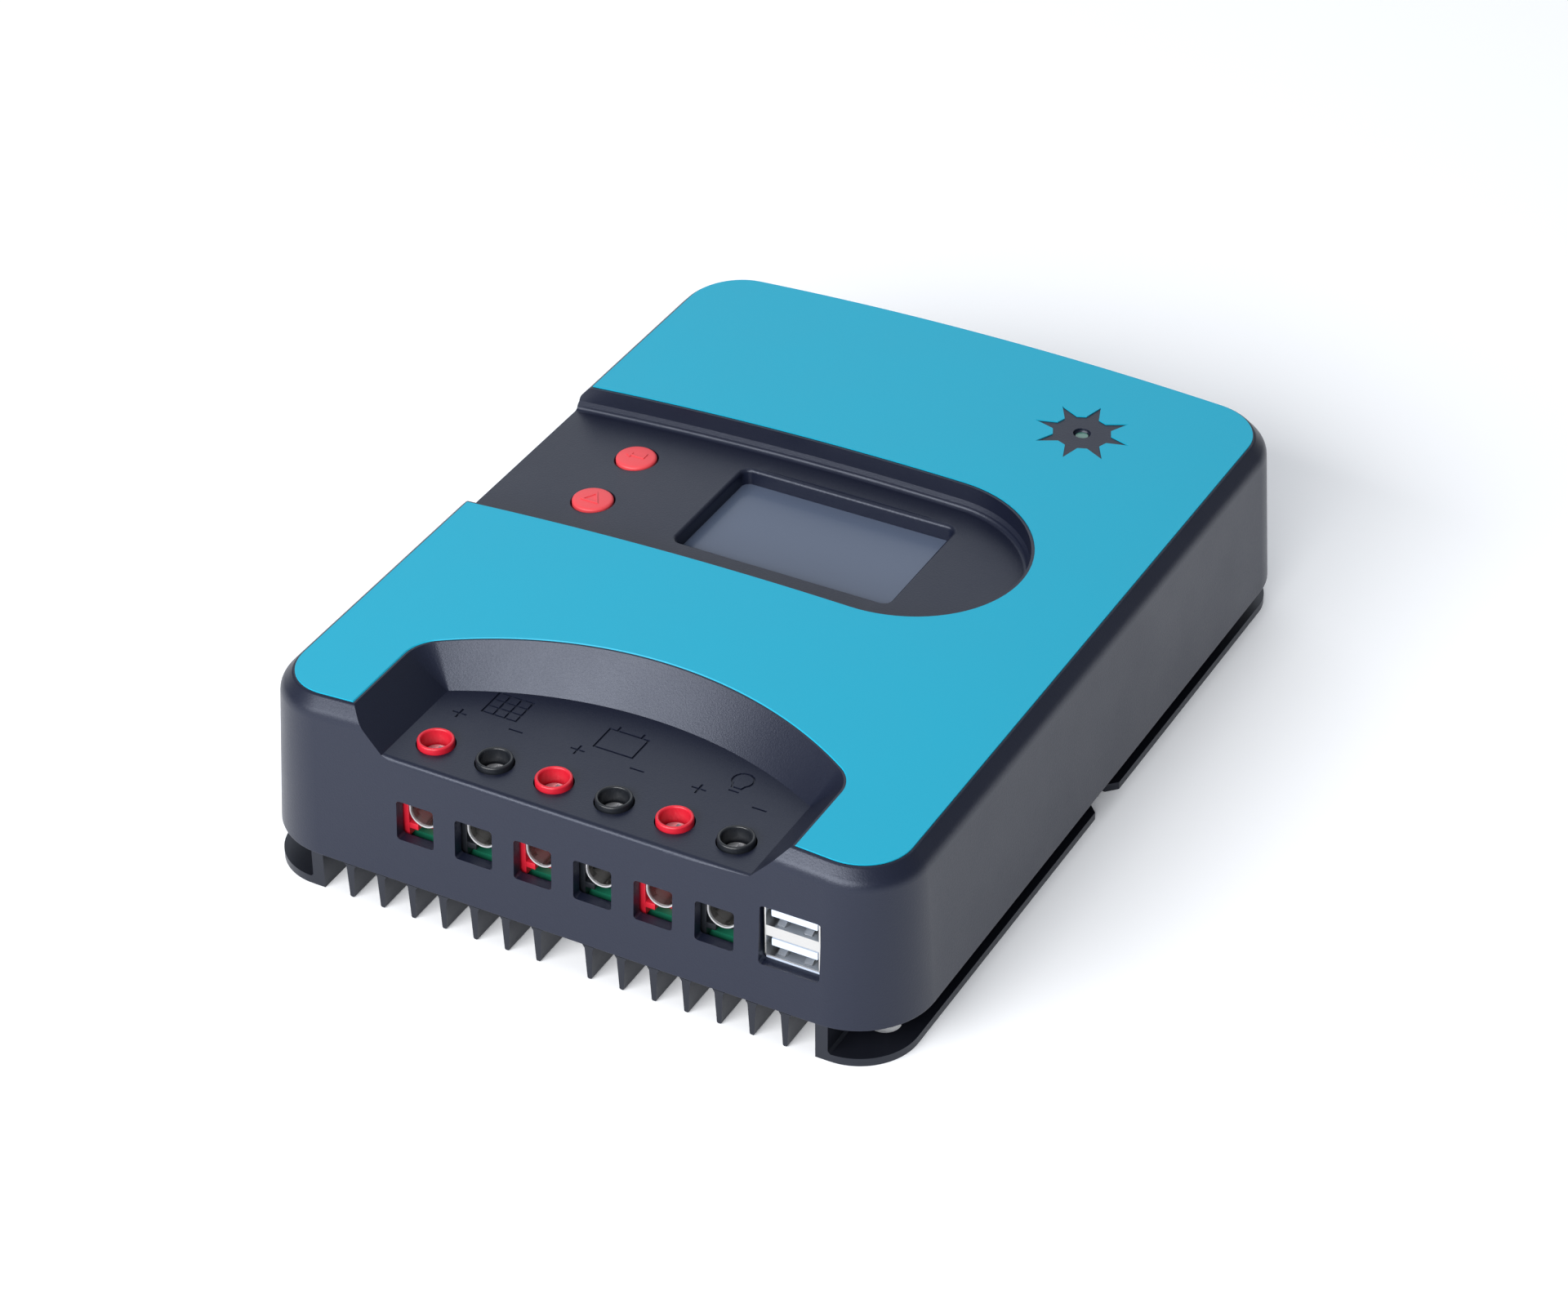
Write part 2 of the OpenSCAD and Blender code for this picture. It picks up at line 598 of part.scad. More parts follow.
module power_transistors() color([0.12, 0.12, 0.13]) for (x = transistor_xs)
  translate([x, transistor_y, base_z + 0.4]) difference() {
    union() {
      translate([-5.1, -7, 0]) cube([10.2, 9.2, board_z - base_z - 0.6]);
      translate([-5.1, 2, 0]) cube([10.2, 6.4, 1.3]);
      for (k = [-1, 0, 1]) {
        translate([k * 2.54 - 0.4, -10, 1.8]) cube([0.8, 3.2, 0.5]);
        translate([k * 2.54 - 0.4, -10, 1.8]) cube([0.8, 0.5, board_z - base_z - 2.2]);
      }
    }
    translate([0, 5.6, -1]) cylinder(d = 3.3, h = 4, $fn = 32);
  }

module thermal_pad() color([0.55, 0.6, 0.7]) difference() {
  translate([transistor_xs[0] - 8, transistor_y - 8.4, base_z]) cube([transistor_xs[5] - transistor_xs[0] + 16, 18, 0.4]);
  for (x = transistor_xs) translate([x, transistor_y + 5.6, base_z - 1]) cylinder(d = 3.4, h = 3, $fn = 32);
}

module transistor_screws() color([0.8, 0.8, 0.82]) for (x = transistor_xs)
  translate([x, transistor_y + 5.6, base_z - 3]) pan_screw(3, 4.7, 5.6, 2);

module current_shunt() color([0.7, 0.5, 0.38]) translate([36, terminal_back_y + 42, board_top_z]) {
  translate([-8, -2.5, 0]) cube([1.2, 5, 6]);
  translate([6.8, -2.5, 0]) cube([1.2, 5, 6]);
  translate([-8, -2.5, 6]) cube([16, 5, 1.2]);
}

module fuses() color([0.9, 0.75, 0.2]) for (x = [-52, -36, -20])
  translate([x, terminal_back_y + 42, board_top_z]) {
    translate([-5.5, -1.9, 0]) cube([11, 3.8, 6]);
    translate([-6.2, -2.4, 6]) cube([12.4, 4.8, 5]);
  }

module control_chip() color([0.1, 0.1, 0.11]) translate([-44, 6, board_top_z]) block(12, 12, 1.5, 0.4);

module driver_chips() color([0.1, 0.1, 0.11]) for (x = [-20, 0, 20])
  translate([x - 2, 3, board_top_z]) cube([4, 5, 1.6]);

module board_header() color([0.12, 0.12, 0.13]) translate([-12, 33, board_top_z]) {
  cube([22, 5, 8.4]);
  for (k = [0 : 7]) translate([2 + k * 2.54, 2.2, 8.4]) cube([0.64, 0.64, 3]);
}

module display_socket() color([0.1, 0.1, 0.1]) translate([-12, 33, board_top_z + 8.4]) difference() {
  cube([22, 5, display_z - board_top_z - 8.4]);
  for (k = [0 : 7]) translate([1.92 + k * 2.54, 2.12, -1]) cube([0.8, 0.8, 4.4]);
}

// ---------- assembly ----------

top_cover();
front_label();
heat_sink();
main_board();
display_board();
lcd_module();
lcd_window();
light_pipe();
status_led();
button_enter();
button_up();
plunger_enter();
plunger_up();
switch_bodies();
usb_shell();
usb_insulator();
usb_contacts();
for (i = [0 : terminal_count - 1]) {
  terminal_housing(i);
  terminal_bar(i);
  terminal_cage(i);
  terminal_screw(i);
}
cover_screws();
board_spacers();
board_screws();
display_screws();
inductor_cores();
inductor_windings();
input_capacitors();
output_capacitors();
power_transistors();
thermal_pad();
transistor_screws();
current_shunt();
fuses();
control_chip();
driver_chips();
board_header();
display_socket();
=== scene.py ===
"""A solar charge controller: arched plastic cover, label, display, buttons, clamps, USB socket and heat sink."""

import math

import bmesh
import bpy
from bpy.props import FloatProperty, FloatVectorProperty, IntProperty, PointerProperty
from mathutils import Matrix, Vector


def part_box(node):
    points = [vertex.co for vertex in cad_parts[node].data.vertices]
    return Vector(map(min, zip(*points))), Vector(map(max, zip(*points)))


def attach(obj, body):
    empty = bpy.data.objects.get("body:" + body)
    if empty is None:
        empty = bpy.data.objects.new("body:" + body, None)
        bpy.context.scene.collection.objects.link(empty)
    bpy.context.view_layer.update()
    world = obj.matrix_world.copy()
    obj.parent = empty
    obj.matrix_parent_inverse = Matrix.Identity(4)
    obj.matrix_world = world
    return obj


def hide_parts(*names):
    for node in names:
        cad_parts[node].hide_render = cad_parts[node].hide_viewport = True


bl_info = {
    "name": "Solar Charge Controller",
    "version": (1, 0, 0),
    "blender": (4, 5, 0),
    "location": "3D View > Sidebar > Controller",
    "description": "Builds the looks of a solar charge controller around its packed frame",
    "category": "Add Mesh",
}

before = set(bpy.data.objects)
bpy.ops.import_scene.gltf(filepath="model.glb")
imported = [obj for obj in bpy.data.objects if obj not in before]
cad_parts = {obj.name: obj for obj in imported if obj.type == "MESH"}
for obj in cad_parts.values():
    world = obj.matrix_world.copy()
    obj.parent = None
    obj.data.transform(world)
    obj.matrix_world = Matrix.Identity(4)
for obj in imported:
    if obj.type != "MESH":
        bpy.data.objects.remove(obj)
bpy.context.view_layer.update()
MM = 0.001
BODY = "controller"
CLAMPS = sorted(int(n.rsplit("_", 1)[1]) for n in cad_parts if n.startswith("terminal_screw_"))

# Places that several pieces share, in millimetres
SCREW_Y = -94  # middle of the clamp screws and their wells
WALL_FRONT, WALL_BACK = -112, -100.4  # a cut between these goes through the cover's front wall
ABOVE = 60  # higher than every piece


# ---------- sizes and colours ----------


def length(name, mm, text):
    """A size in metres with its default given in millimetres."""
    return FloatProperty(name=name, description=text, default=mm * MM, unit="LENGTH", precision=5)


def colour(name, rgb, text):
    return FloatVectorProperty(name=name, description=text, default=rgb, size=3, subtype="COLOR", min=0, max=1)


class CoverSizes(bpy.types.PropertyGroup):
    """Sizes of the moulded cover."""

    width: length("Width", 161.6, "Width of the cover at its rim")
    depth: length("Length", 210.4, "Length of the cover at its rim")
    rim: length("Rim height", 9, "Height of the rim above the mounting face")
    corner: length("Corner radius", 18.2, "Corner radius at the rim")
    wall_top: length("Wall top", 45, "Height of the walls at the sides")
    lean_in: length("Wall lean", 2.2, "How far each wall leans in up to the chamfer")
    chamfer_w: length("Chamfer width", 3, "Width of the top chamfer")
    chamfer_h: length("Chamfer height", 3.3, "Height of the top chamfer")
    crown: length("Crown", 3, "Rise of the arched top")
    wall: length("Wall", 2.6, "Thickness of the walls")
    rounding: length("Edge rounding", 0.42, "Rounding of the moulded edges")
    recess_front: length("Recess front", -18.3, "Place of the display recess's front wall")
    recess_width: length("Recess width", 56, "Width of the display recess")
    recess_end: length("Recess end", 52.6, "Place of the recess's round end")
    recess_depth: length("Recess depth", 6.2, "Depth of the display recess")
    shelf_depth: length("Shelf depth", 4.2, "Depth of the straight wall of the recess")
    shelf_slope: length("Shelf slope", 0.8, "Width and height of the slope under the straight wall")
    ledge_z: length("Ledge height", 41, "Height of the terminal recess's floor")
    ledge_half: length("Ledge half width", 45.2, "Half width of the terminal recess's floor")
    ledge_radius: length("Ledge radius", 93, "Radius of the terminal recess's back wall")
    ledge_back: length("Ledge back", -64.4, "Place of the middle of the back wall")
    lip: length("Lip rounding", 1.2, "Rounding of the front edge of the terminal recess's floor")
    sign_depth: length("Sign depth", 0.35, "Depth of the engraved signs")


class LookColours(bpy.types.PropertyGroup):
    """Colours of the main finishes."""

    plastic: colour("Plastic", (0.006, 0.008, 0.020), "Dark moulded plastic of the cover")
    label: colour("Label", (0.006, 0.352, 0.520), "Teal film on the cover")
    sink: colour("Heat sink", (0.008, 0.009, 0.014), "Dark anodised heat sink")
    red: colour("Red plastic", (0.60, 0.014, 0.032), "Red terminal housings")
    button: colour("Button", (0.74, 0.060, 0.074), "Soft red button caps")
    nickel: colour("Nickel", (0.72, 0.71, 0.69), "Nickel-plated metal")


class FinSizes(bpy.types.PropertyGroup):
    """Sizes of the heat sink's fins."""

    pitch: length("Pitch", 8, "Distance between neighbouring fins")
    middle: length("Middle gap", 12.9, "Free distance across the middle")
    count: IntProperty(name="Fins", description="Fins in each group", default=7, min=1, max=12)
    root: length("Root", 2, "Thickness of a fin at its root")
    tip: length("Tip", 1.1, "Thickness of a fin at its tip")


# ---------- mesh helpers: everything is drawn in millimetres and stored in metres ----------


def new_object(name, verts, faces):
    mesh = bpy.data.meshes.new(name)
    mesh.from_pydata([Vector(v) * MM for v in verts], [], faces)
    mesh.validate()
    piece = bpy.data.objects.new(name, mesh)
    bpy.context.scene.collection.objects.link(piece)
    return piece


def outward(piece):
    """Turns every face outwards."""
    work = bmesh.new()
    work.from_mesh(piece.data)
    bmesh.ops.remove_doubles(work, verts=work.verts, dist=1e-7)
    bmesh.ops.recalc_face_normals(work, faces=work.faces)
    work.to_mesh(piece.data)
    work.free()
    return piece


def loft(name, rings, bottom="face", top="face"):
    """Skins closed rings of equal length. A cap is one face, or strips across from the first half to the second."""
    n = len(rings[0])
    verts = [p for ring in rings for p in ring]
    faces = []
    for r in range(len(rings) - 1):
        for i in range(n):
            j = (i + 1) % n
            faces.append((r * n + i, r * n + j, (r + 1) * n + j, (r + 1) * n + i))
    for kind, start in ((bottom, 0), (top, (len(rings) - 1) * n)):
        if kind == "face":
            faces.append(tuple(start + i for i in range(n)))
        elif kind == "strips":
            for i in range(n // 2 - 1):
                faces.append((start + i, start + i + 1, start + n - 2 - i, start + n - 1 - i))
    return outward(new_object(name, verts, faces))


def lathe(name, profile, centre, steps=64):
    """Turns a profile of (radius, height) about a vertical axis; it starts and ends on the axis."""
    verts, faces, rows = [], [], []
    for r, z in profile:
        if r < 1e-6:
            rows.append([len(verts)])
            verts.append((centre[0], centre[1], z))
        else:
            rows.append(list(range(len(verts), len(verts) + steps)))
            for k in range(steps):
                a = 2 * math.pi * k / steps
                verts.append((centre[0] + r * math.cos(a), centre[1] + r * math.sin(a), z))
    for a, b in zip(rows, rows[1:]):
        for k in range(steps):
            m = (k + 1) % steps
            if len(a) == 1 and len(b) > 1:
                faces.append((a[0], b[m], b[k]))
            elif len(b) == 1 and len(a) > 1:
                faces.append((a[k], a[m], b[0]))
            elif len(a) > 1:
                faces.append((a[k], a[m], b[m], b[k]))
    return outward(new_object(name, verts, faces))


def arc(cx, cy, r, a0, a1, n):
    """Points of an arc from a0 to a1 degrees, both ends included."""
    out = []
    for k in range(n + 1):
        a = math.radians(a0 + (a1 - a0) * k / n)
        out.append((cx + r * math.cos(a), cy + r * math.sin(a)))
    return out


def rounded_rect(w, h, r, n=8, cx=0, cy=0):
    x, y = w / 2 - r, h / 2 - r
    pts = arc(cx - x, cy - y, r, 180, 270, n) + arc(cx + x, cy - y, r, 270, 360, n)
    return pts + arc(cx + x, cy + y, r, 0, 90, n) + arc(cx - x, cy + y, r, 90, 180, n)


def prism(name, outline, z0, z1):
    return loft(name, [[(x, y, z) for x, y in outline] for z in (z0, z1)])


def prism_y(name, outline, y0, y1):
    """An outline in X and Z, carried along Y."""
    return loft(name, [[(x, y, z) for x, z in outline] for y in (y0, y1)])


def box(name, low, high):
    (x0, y0, z0), (x1, y1, z1) = low, high
    return prism(name, [(x0, y0), (x1, y0), (x1, y1), (x0, y1)], z0, z1)


def middle(node):
    """Middle of a node's box, in millimetres."""
    low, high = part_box(node)
    return tuple((a + b) / 2 / MM for a, b in zip(low, high))


def cylinder(name, r, centre, z0, z1, steps=48):
    return lathe(name, [(0, z0), (r, z0), (r, z1), (0, z1)], centre, steps)


def evaluated(piece):
    """Replaces a piece's modifiers with the mesh they make."""
    graph = bpy.context.evaluated_depsgraph_get()
    graph.update()
    mesh = bpy.data.meshes.new_from_object(piece.evaluated_get(graph), depsgraph=graph)
    old = piece.data
    piece.modifiers.clear()
    piece.data = mesh
    bpy.data.meshes.remove(old)
    return piece


def combine(piece, others, how="DIFFERENCE"):
    """Cuts the others from the piece, or joins them to it, and removes them."""
    for other in others:
        step = piece.modifiers.new("cut", "BOOLEAN")
        step.operation = how
        step.solver = "MANIFOLD"
        step.object = other
        evaluated(piece)
    for other in others:
        mesh = other.data
        bpy.data.objects.remove(other)
        bpy.data.meshes.remove(mesh)
    return piece


def join(name, pieces):
    """Joins pieces that stay separate solids into one object."""
    work = bmesh.new()
    for p in pieces:
        work.from_mesh(p.data)
    mesh = bpy.data.meshes.new(name)
    work.to_mesh(mesh)
    work.free()
    for p in pieces:
        old = p.data
        bpy.data.objects.remove(p)
        bpy.data.meshes.remove(old)
    out = bpy.data.objects.new(name, mesh)
    bpy.context.scene.collection.objects.link(out)
    return out


def merged_copy(piece):
    """A piece's mesh to work on, with its doubles merged and its flat faces joined."""
    work = bmesh.new()
    work.from_mesh(piece.data)
    bmesh.ops.remove_doubles(work, verts=work.verts, dist=4e-6)
    bmesh.ops.dissolve_limit(work, angle_limit=math.radians(0.25), verts=work.verts, edges=work.edges)
    return work


def soften(piece, width, segments=2, angle=32, smooth=40):
    """Rounds the edges sharper than an angle and smooths the shading between gentle faces."""
    work = merged_copy(piece)
    work.to_mesh(piece.data)
    work.free()
    if width:
        bevel = piece.modifiers.new("rounding", "BEVEL")
        bevel.width = width
        bevel.segments = segments
        bevel.limit_method = "ANGLE"
        bevel.angle_limit = math.radians(angle)
        bevel.use_clamp_overlap = True
        bevel.miter_outer = "MITER_ARC"
        evaluated(piece)
    return shade(piece, smooth)


def shade(piece, smooth=40):
    """Smooths the shading, but for the edges sharper than an angle."""
    mesh = piece.data
    mesh.shade_smooth()
    mesh.set_sharp_from_angle(angle=math.radians(smooth))
    even = piece.modifiers.new("even shading", "WEIGHTED_NORMAL")
    even.keep_sharp = True
    even.weight = 80
    evaluated(piece)
    return piece


def finish_piece(piece, name, material, body=BODY, replaces=()):
    """Names a piece, gives it its material, and hands it to the frame."""
    piece.name = name
    piece.data.name = name
    piece.data.materials.clear()
    piece.data.materials.append(material)
    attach(piece, body)
    if replaces:
        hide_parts(*replaces)
    return piece


# ---------- shader groups and materials ----------


def group_socket(group, name, way, kind, default=None):
    s = group.interface.new_socket(name=name, in_out=way, socket_type=kind)
    if default is not None:
        s.default_value = default
    return s


def grain_group():
    """Moulded or cast grain: fine noise for height, with a slow change of roughness and colour."""
    name = "surface grain"
    if name in bpy.data.node_groups:
        return bpy.data.node_groups[name]
    g = bpy.data.node_groups.new(name, "ShaderNodeTree")
    group_socket(g, "Colour", "INPUT", "NodeSocketColor", (0.5, 0.5, 0.5, 1))
    group_socket(g, "Grain per metre", "INPUT", "NodeSocketFloat", 3000)
    group_socket(g, "Grain height", "INPUT", "NodeSocketFloat", 0.3)
    group_socket(g, "Roughness", "INPUT", "NodeSocketFloat", 0.4)
    group_socket(g, "Roughness change", "INPUT", "NodeSocketFloat", 0.08)
    group_socket(g, "Colour change", "INPUT", "NodeSocketFloat", 0.08)
    group_socket(g, "Colour", "OUTPUT", "NodeSocketColor")
    group_socket(g, "Roughness", "OUTPUT", "NodeSocketFloat")
    group_socket(g, "Normal", "OUTPUT", "NodeSocketVector")
    n, l = g.nodes, g.links
    gin, gout = n.new("NodeGroupInput"), n.new("NodeGroupOutput")
    co = n.new("ShaderNodeTexCoord")
    fine = n.new("ShaderNodeTexNoise")
    fine.inputs["Detail"].default_value = 3
    fine.inputs["Roughness"].default_value = 0.6
    l.new(co.outputs["Object"], fine.inputs["Vector"])
    l.new(gin.outputs["Grain per metre"], fine.inputs["Scale"])
    slow = n.new("ShaderNodeTexNoise")
    slow.inputs["Scale"].default_value = 55
    slow.inputs["Detail"].default_value = 4
    l.new(co.outputs["Object"], slow.inputs["Vector"])
    bump = n.new("ShaderNodeBump")
    bump.inputs["Distance"].default_value = 0.00004
    l.new(gin.outputs["Grain height"], bump.inputs["Strength"])
    l.new(fine.outputs["Fac"], bump.inputs["Height"])
    l.new(bump.outputs["Normal"], gout.inputs["Normal"])
    both = n.new("ShaderNodeMath")
    both.operation = "ADD"
    l.new(fine.outputs["Fac"], both.inputs[0])
    l.new(slow.outputs["Fac"], both.inputs[1])
    centred = n.new("ShaderNodeMath")
    centred.operation = "SUBTRACT"
    l.new(both.outputs[0], centred.inputs[0])
    centred.inputs[1].default_value = 1
    rough = n.new("ShaderNodeMath")
    rough.operation = "MULTIPLY_ADD"
    l.new(centred.outputs[0], rough.inputs[0])
    l.new(gin.outputs["Roughness change"], rough.inputs[1])
    l.new(gin.outputs["Roughness"], rough.inputs[2])
    l.new(rough.outputs[0], gout.inputs["Roughness"])
    change = n.new("ShaderNodeMath")
    change.operation = "MULTIPLY_ADD"
    l.new(centred.outputs[0], change.inputs[0])
    l.new(gin.outputs["Colour change"], change.inputs[1])
    change.inputs[2].default_value = 1
    tint = n.new("ShaderNodeVectorMath")
    tint.operation = "SCALE"
    l.new(gin.outputs["Colour"], tint.inputs[0])
    l.new(change.outputs[0], tint.inputs["Scale"])
    l.new(tint.outputs[0], gout.inputs["Colour"])
    return g


def finish(name, rgb, rough=0.4, metal=0.0, grain=3000, height=0.3, rough_change=0.08, colour_change=0.08, coat=0.0,
           specular=0.5, specular_tint=(1, 1, 1), glow=None):
    """A finish with its grain; uniform values sit on the shader itself."""
    if name in bpy.data.materials:
        return bpy.data.materials[name]
    m = bpy.data.materials.new(name)
    m.use_nodes = True
    n, l = m.node_tree.nodes, m.node_tree.links
    shader = n["Principled BSDF"]
    shader.inputs["Metallic"].default_value = metal
    shader.inputs["Coat Weight"].default_value = coat
    shader.inputs["Coat Roughness"].default_value = 0.08
    shader.inputs["Specular IOR Level"].default_value = specular
    shader.inputs["Specular Tint"].default_value = (*specular_tint, 1)
    shader.inputs["IOR"].default_value = 1.5
    if glow:
        shader.inputs["Emission Color"].default_value = (*glow, 1)
        shader.inputs["Emission Strength"].default_value = 0.3
    g = n.new("ShaderNodeGroup")
    g.node_tree = grain_group()
    g.inputs["Colour"].default_value = (*rgb, 1)
    g.inputs["Grain per metre"].default_value = grain
    g.inputs["Grain height"].default_value = height
    g.inputs["Roughness"].default_value = rough
    g.inputs["Roughness change"].default_value = rough_change
    g.inputs["Colour change"].default_value = colour_change
    l.new(g.outputs["Colour"], shader.inputs["Base Color"])
    l.new(g.outputs["Roughness"], shader.inputs["Roughness"])
    l.new(g.outputs["Normal"], shader.inputs["Normal"])
    m.diffuse_color = (*rgb, 1)
    return m


COOL_SHINE = (0.80, 0.86, 1.0)


def looks():
    return bpy.context.scene.controller_colours


def textured_plastic():
    return finish("textured dark plastic", tuple(looks().plastic), 0.38, grain=2300, height=0.9, rough_change=0.12,
                  specular_tint=COOL_SHINE)


def label_film():
    return finish("teal label film", tuple(looks().label), 0.46, grain=5200, height=0.10, rough_change=0.05,
                  colour_change=0.03, specular=0.25)


def anodised():
    return finish("dark anodised aluminium", tuple(looks().sink), 0.38, metal=0.1, grain=1800, height=0.2,
                  specular_tint=COOL_SHINE)


def red_plastic():
    return finish("red terminal plastic", tuple(looks().red), 0.34, grain=2600, height=0.15)


def black_plastic():
    return finish("black terminal plastic", (0.012, 0.014, 0.018), 0.32, grain=2600, height=0.15)


def button_rubber():
    return finish("soft red button plastic", tuple(looks().button), 0.45, grain=3200, height=0.15, colour_change=0.04)


def nickel():
    return finish("nickel plate", tuple(looks().nickel), 0.24, metal=1.0, grain=1500, height=0.12, colour_change=0.05)


def clamp_metal_painted_sheen():
    # Painted sheen: a fifth of this finish is a bright white diffuse colour rather than metal, so the screws, bars and
    # mouths look lit even where their metal would mirror dark surroundings.
    return finish("clamp metal with painted sheen", (0.86, 0.86, 0.88), 0.40, metal=0.8, grain=1500, height=0.4, colour_change=0.05)


def zinc():
    return finish("zinc-plated steel", (0.62, 0.62, 0.64), 0.3, metal=1.0, grain=1500, height=0.25)


# ---------- the cover ----------


def curve(a, b, c, t):
    """A point at t from 0 to 1 on the curve from a to c that bends towards b."""
    return tuple((1 - t) ** 2 * u + 2 * t * (1 - t) * v + t * t * w for u, v, w in zip(a, b, c))


class CoverShape:
    """Heights and outlines of the cover in millimetres, from the sizes."""

    def __init__(self):
        s = bpy.context.scene.controller_cover
        for key in s.__annotations__:
            setattr(self, key, getattr(s, key) / MM)
        self.hx = self.width / 2
        self.hy = self.depth / 2
        self.lean = self.lean_in / (self.wall_top - self.rim)
        self.top = self.wall_top + self.chamfer_h + self.crown
        self.px = self.hx - self.lean_in - self.chamfer_w
        self.crown_r = (self.px**2 + self.crown**2) / (2 * self.crown)
        self.inset_top = self.lean_in + self.chamfer_w
        self.recess_y = self.recess_front + self.recess_width / 2
        self.recess_r = self.recess_width / 2
        self.recess_cx = self.recess_end - self.recess_r

    def crown_z(self, x):
        return self.top - self.crown_r + math.sqrt(self.crown_r**2 - x * x)

    def outline(self, inset, nx=30, nc=16):
        """Front chain from left to right and its mirror: a ring whose two halves share their x values."""
        x, y, r = self.hx - self.corner, self.hy - self.corner, self.corner - inset
        front = arc(-x, -y, r, 180, 270, nc)
        front += [(-x + 2 * x * k / nx, -y - r) for k in range(1, nx)]
        front += arc(x, -y, r, 270, 360, nc)
        return front + [(a, -b) for a, b in reversed(front)]

    def body(self):
        """The closed outside of the cover, with soft edges below and above the chamfer."""
        low_soft, high_soft = 1.5, 0.5
        rows = []
        for x, _ in self.outline(self.inset_top):
            z_top = self.crown_z(x)
            corner = (self.lean * (z_top - self.chamfer_h - self.rim), z_top - self.chamfer_h)
            plateau = (self.inset_top, z_top)
            low = (self.lean * (corner[1] - low_soft - self.rim), corner[1] - low_soft)
            run = math.dist(corner, plateau)
            high = tuple(c + (p - c) * low_soft / run for c, p in zip(corner, plateau))
            near = tuple(p + (c - p) * high_soft / run for c, p in zip(corner, plateau))
            end = (plateau[0] + high_soft, z_top)
            row = [(0.5, self.rim), (0.12, self.rim + 0.15), (0.03, self.rim + 0.5), (0.06, self.rim + 1)]
            row += [curve(low, corner, high, k / 6) for k in range(7)]
            row += [curve(near, plateau, end, k / 3) for k in range(4)]
            rows.append(row)
        outlines = {}
        rings = []
        for level in zip(*rows):
            ring = []
            for i, (inset, z) in enumerate(level):
                key = round(inset, 5)
                if key not in outlines:
                    outlines[key] = self.outline(inset)
                ring.append((*outlines[key][i], z))
            rings.append(ring)
        return loft("cover body", rings, top="strips")

    def recess_ring(self, inset, z_of, outset=0.0):
        """Plan of the display recess: front wall, round end, back wall. inset is a function of the end's angle."""
        x0 = -self.hx - 12
        straight, steps = 18, 40
        along = [x0 + (self.recess_cx - x0) * k / straight for k in range(straight)]
        pts = [(x, self.recess_front + inset(-90) - outset) for x in along]
        for k in range(steps + 1):
            a = -90 + 180 * k / steps
            r = self.recess_r - inset(a) + outset
            turn = math.radians(a)
            pts.append((self.recess_cx + r * math.cos(turn), self.recess_y + r * math.sin(turn)))
        back = self.recess_front + self.recess_width - inset(90) + outset
        pts += [(x, back) for x in reversed(along)]
        # the point at the far end is doubled, so that the two halves pair up in the strips of the top
        far = straight + steps // 2
        pts.insert(far, pts[far])
        return [(x, y, z_of(x)) for x, y in pts]

    def slope(self, extra=0.0):
        """The slope is full along the back wall and fades out round the end."""
        least, start, power = 0.04, 0.15, 0.8

        def inset(a):
            t = min(max((math.sin(math.radians(a)) + start) / (1 + start), 0), 1)
            return least + (self.shelf_slope - least) * t**power + extra

        return inset

    def recess_cutter(self):
        """A straight wall, a small slope along the back and round part of the end, and a fillet to the floor."""
        d, s = self.recess_depth, self.shelf_depth
        r = d - s - self.shelf_slope
        rows = [(lambda a: 0.0, lambda x: self.top + 8), (lambda a: 0.0, lambda x: self.crown_z(x) - s)]
        for k in range(7):
            a = math.radians(90 * k / 6)
            rows.append((self.slope(r * (1 - math.cos(a))), lambda x, a=a: self.crown_z(x) - d + r - r * math.sin(a)))
        rings = [self.recess_ring(i, z) for i, z in rows]
        return loft("recess cutter", rings, top="strips")

    def ledge_outline(self, height, extra=0.0):
        """Outline of the terminal recess at a height above its floor, open far out at the front."""
        side_slope, back_slope = 0.96, 0.66
        hw = self.ledge_half + side_slope * height + extra
        cy = self.ledge_back - self.ledge_radius
        big = self.ledge_radius + back_slope * height + extra
        r = 0.5 + 8.0 * min(max(height / 9, 0), 1.3)
        fx = hw - r
        fy = cy + math.sqrt((big - r) ** 2 - fx * fx)
        turn = math.degrees(math.atan2(fy - cy, fx))
        right = [(hw, -130), (hw, (fy - 118) / 2 - 20), (hw, fy - 12)] + arc(fx, fy, r, 0, turn, 14)
        half = arc(0, cy, big, turn, 90, 44)[1:]
        full = right + half
        return full + [(-x, y) for x, y in reversed(full[:-1])]

    def ledge_cutter(self, heights=(0, 0.25, 0.6, 1.2, 2.4, 3.6, 4.8, 6, 7.2, 8.4, 9.6, 11, 12.5), extra=0.0):
        """The space over the terminal recess's floor, wider with the height above it."""
        rings = [[(x, y, self.ledge_z + h) for x, y in self.ledge_outline(h, extra)] for h in heights]
        return loft("ledge cutter", rings)


def floor_z(shape, x):
    """Height of the display recess's floor."""
    return shape.crown_z(x) - shape.recess_depth


def opening_cutter(shape, centre, size, r, flare, z_low):
    """Cuts an opening in the recess floor, with its upper edge rounded outwards."""
    rings = [[(x, y, z_low) for x, y in rounded_rect(*size, r, 10, *centre)]]
    for k in range(6):
        a = math.radians(90 * k / 5)
        out = flare * (1 - math.cos(a))
        w, h = size[0] + 2 * out, size[1] + 2 * out
        rings.append([(x, y, floor_z(shape, x) - flare + flare * math.sin(a) + 0.02)
                      for x, y in rounded_rect(w, h, r + out, 10, *centre)])
    w, h = size[0] + 2 * flare, size[1] + 2 * flare
    rings.append([(x, y, shape.top + 8) for x, y in rounded_rect(w, h, r + flare, 10, *centre)])
    return loft("opening cutter", rings)


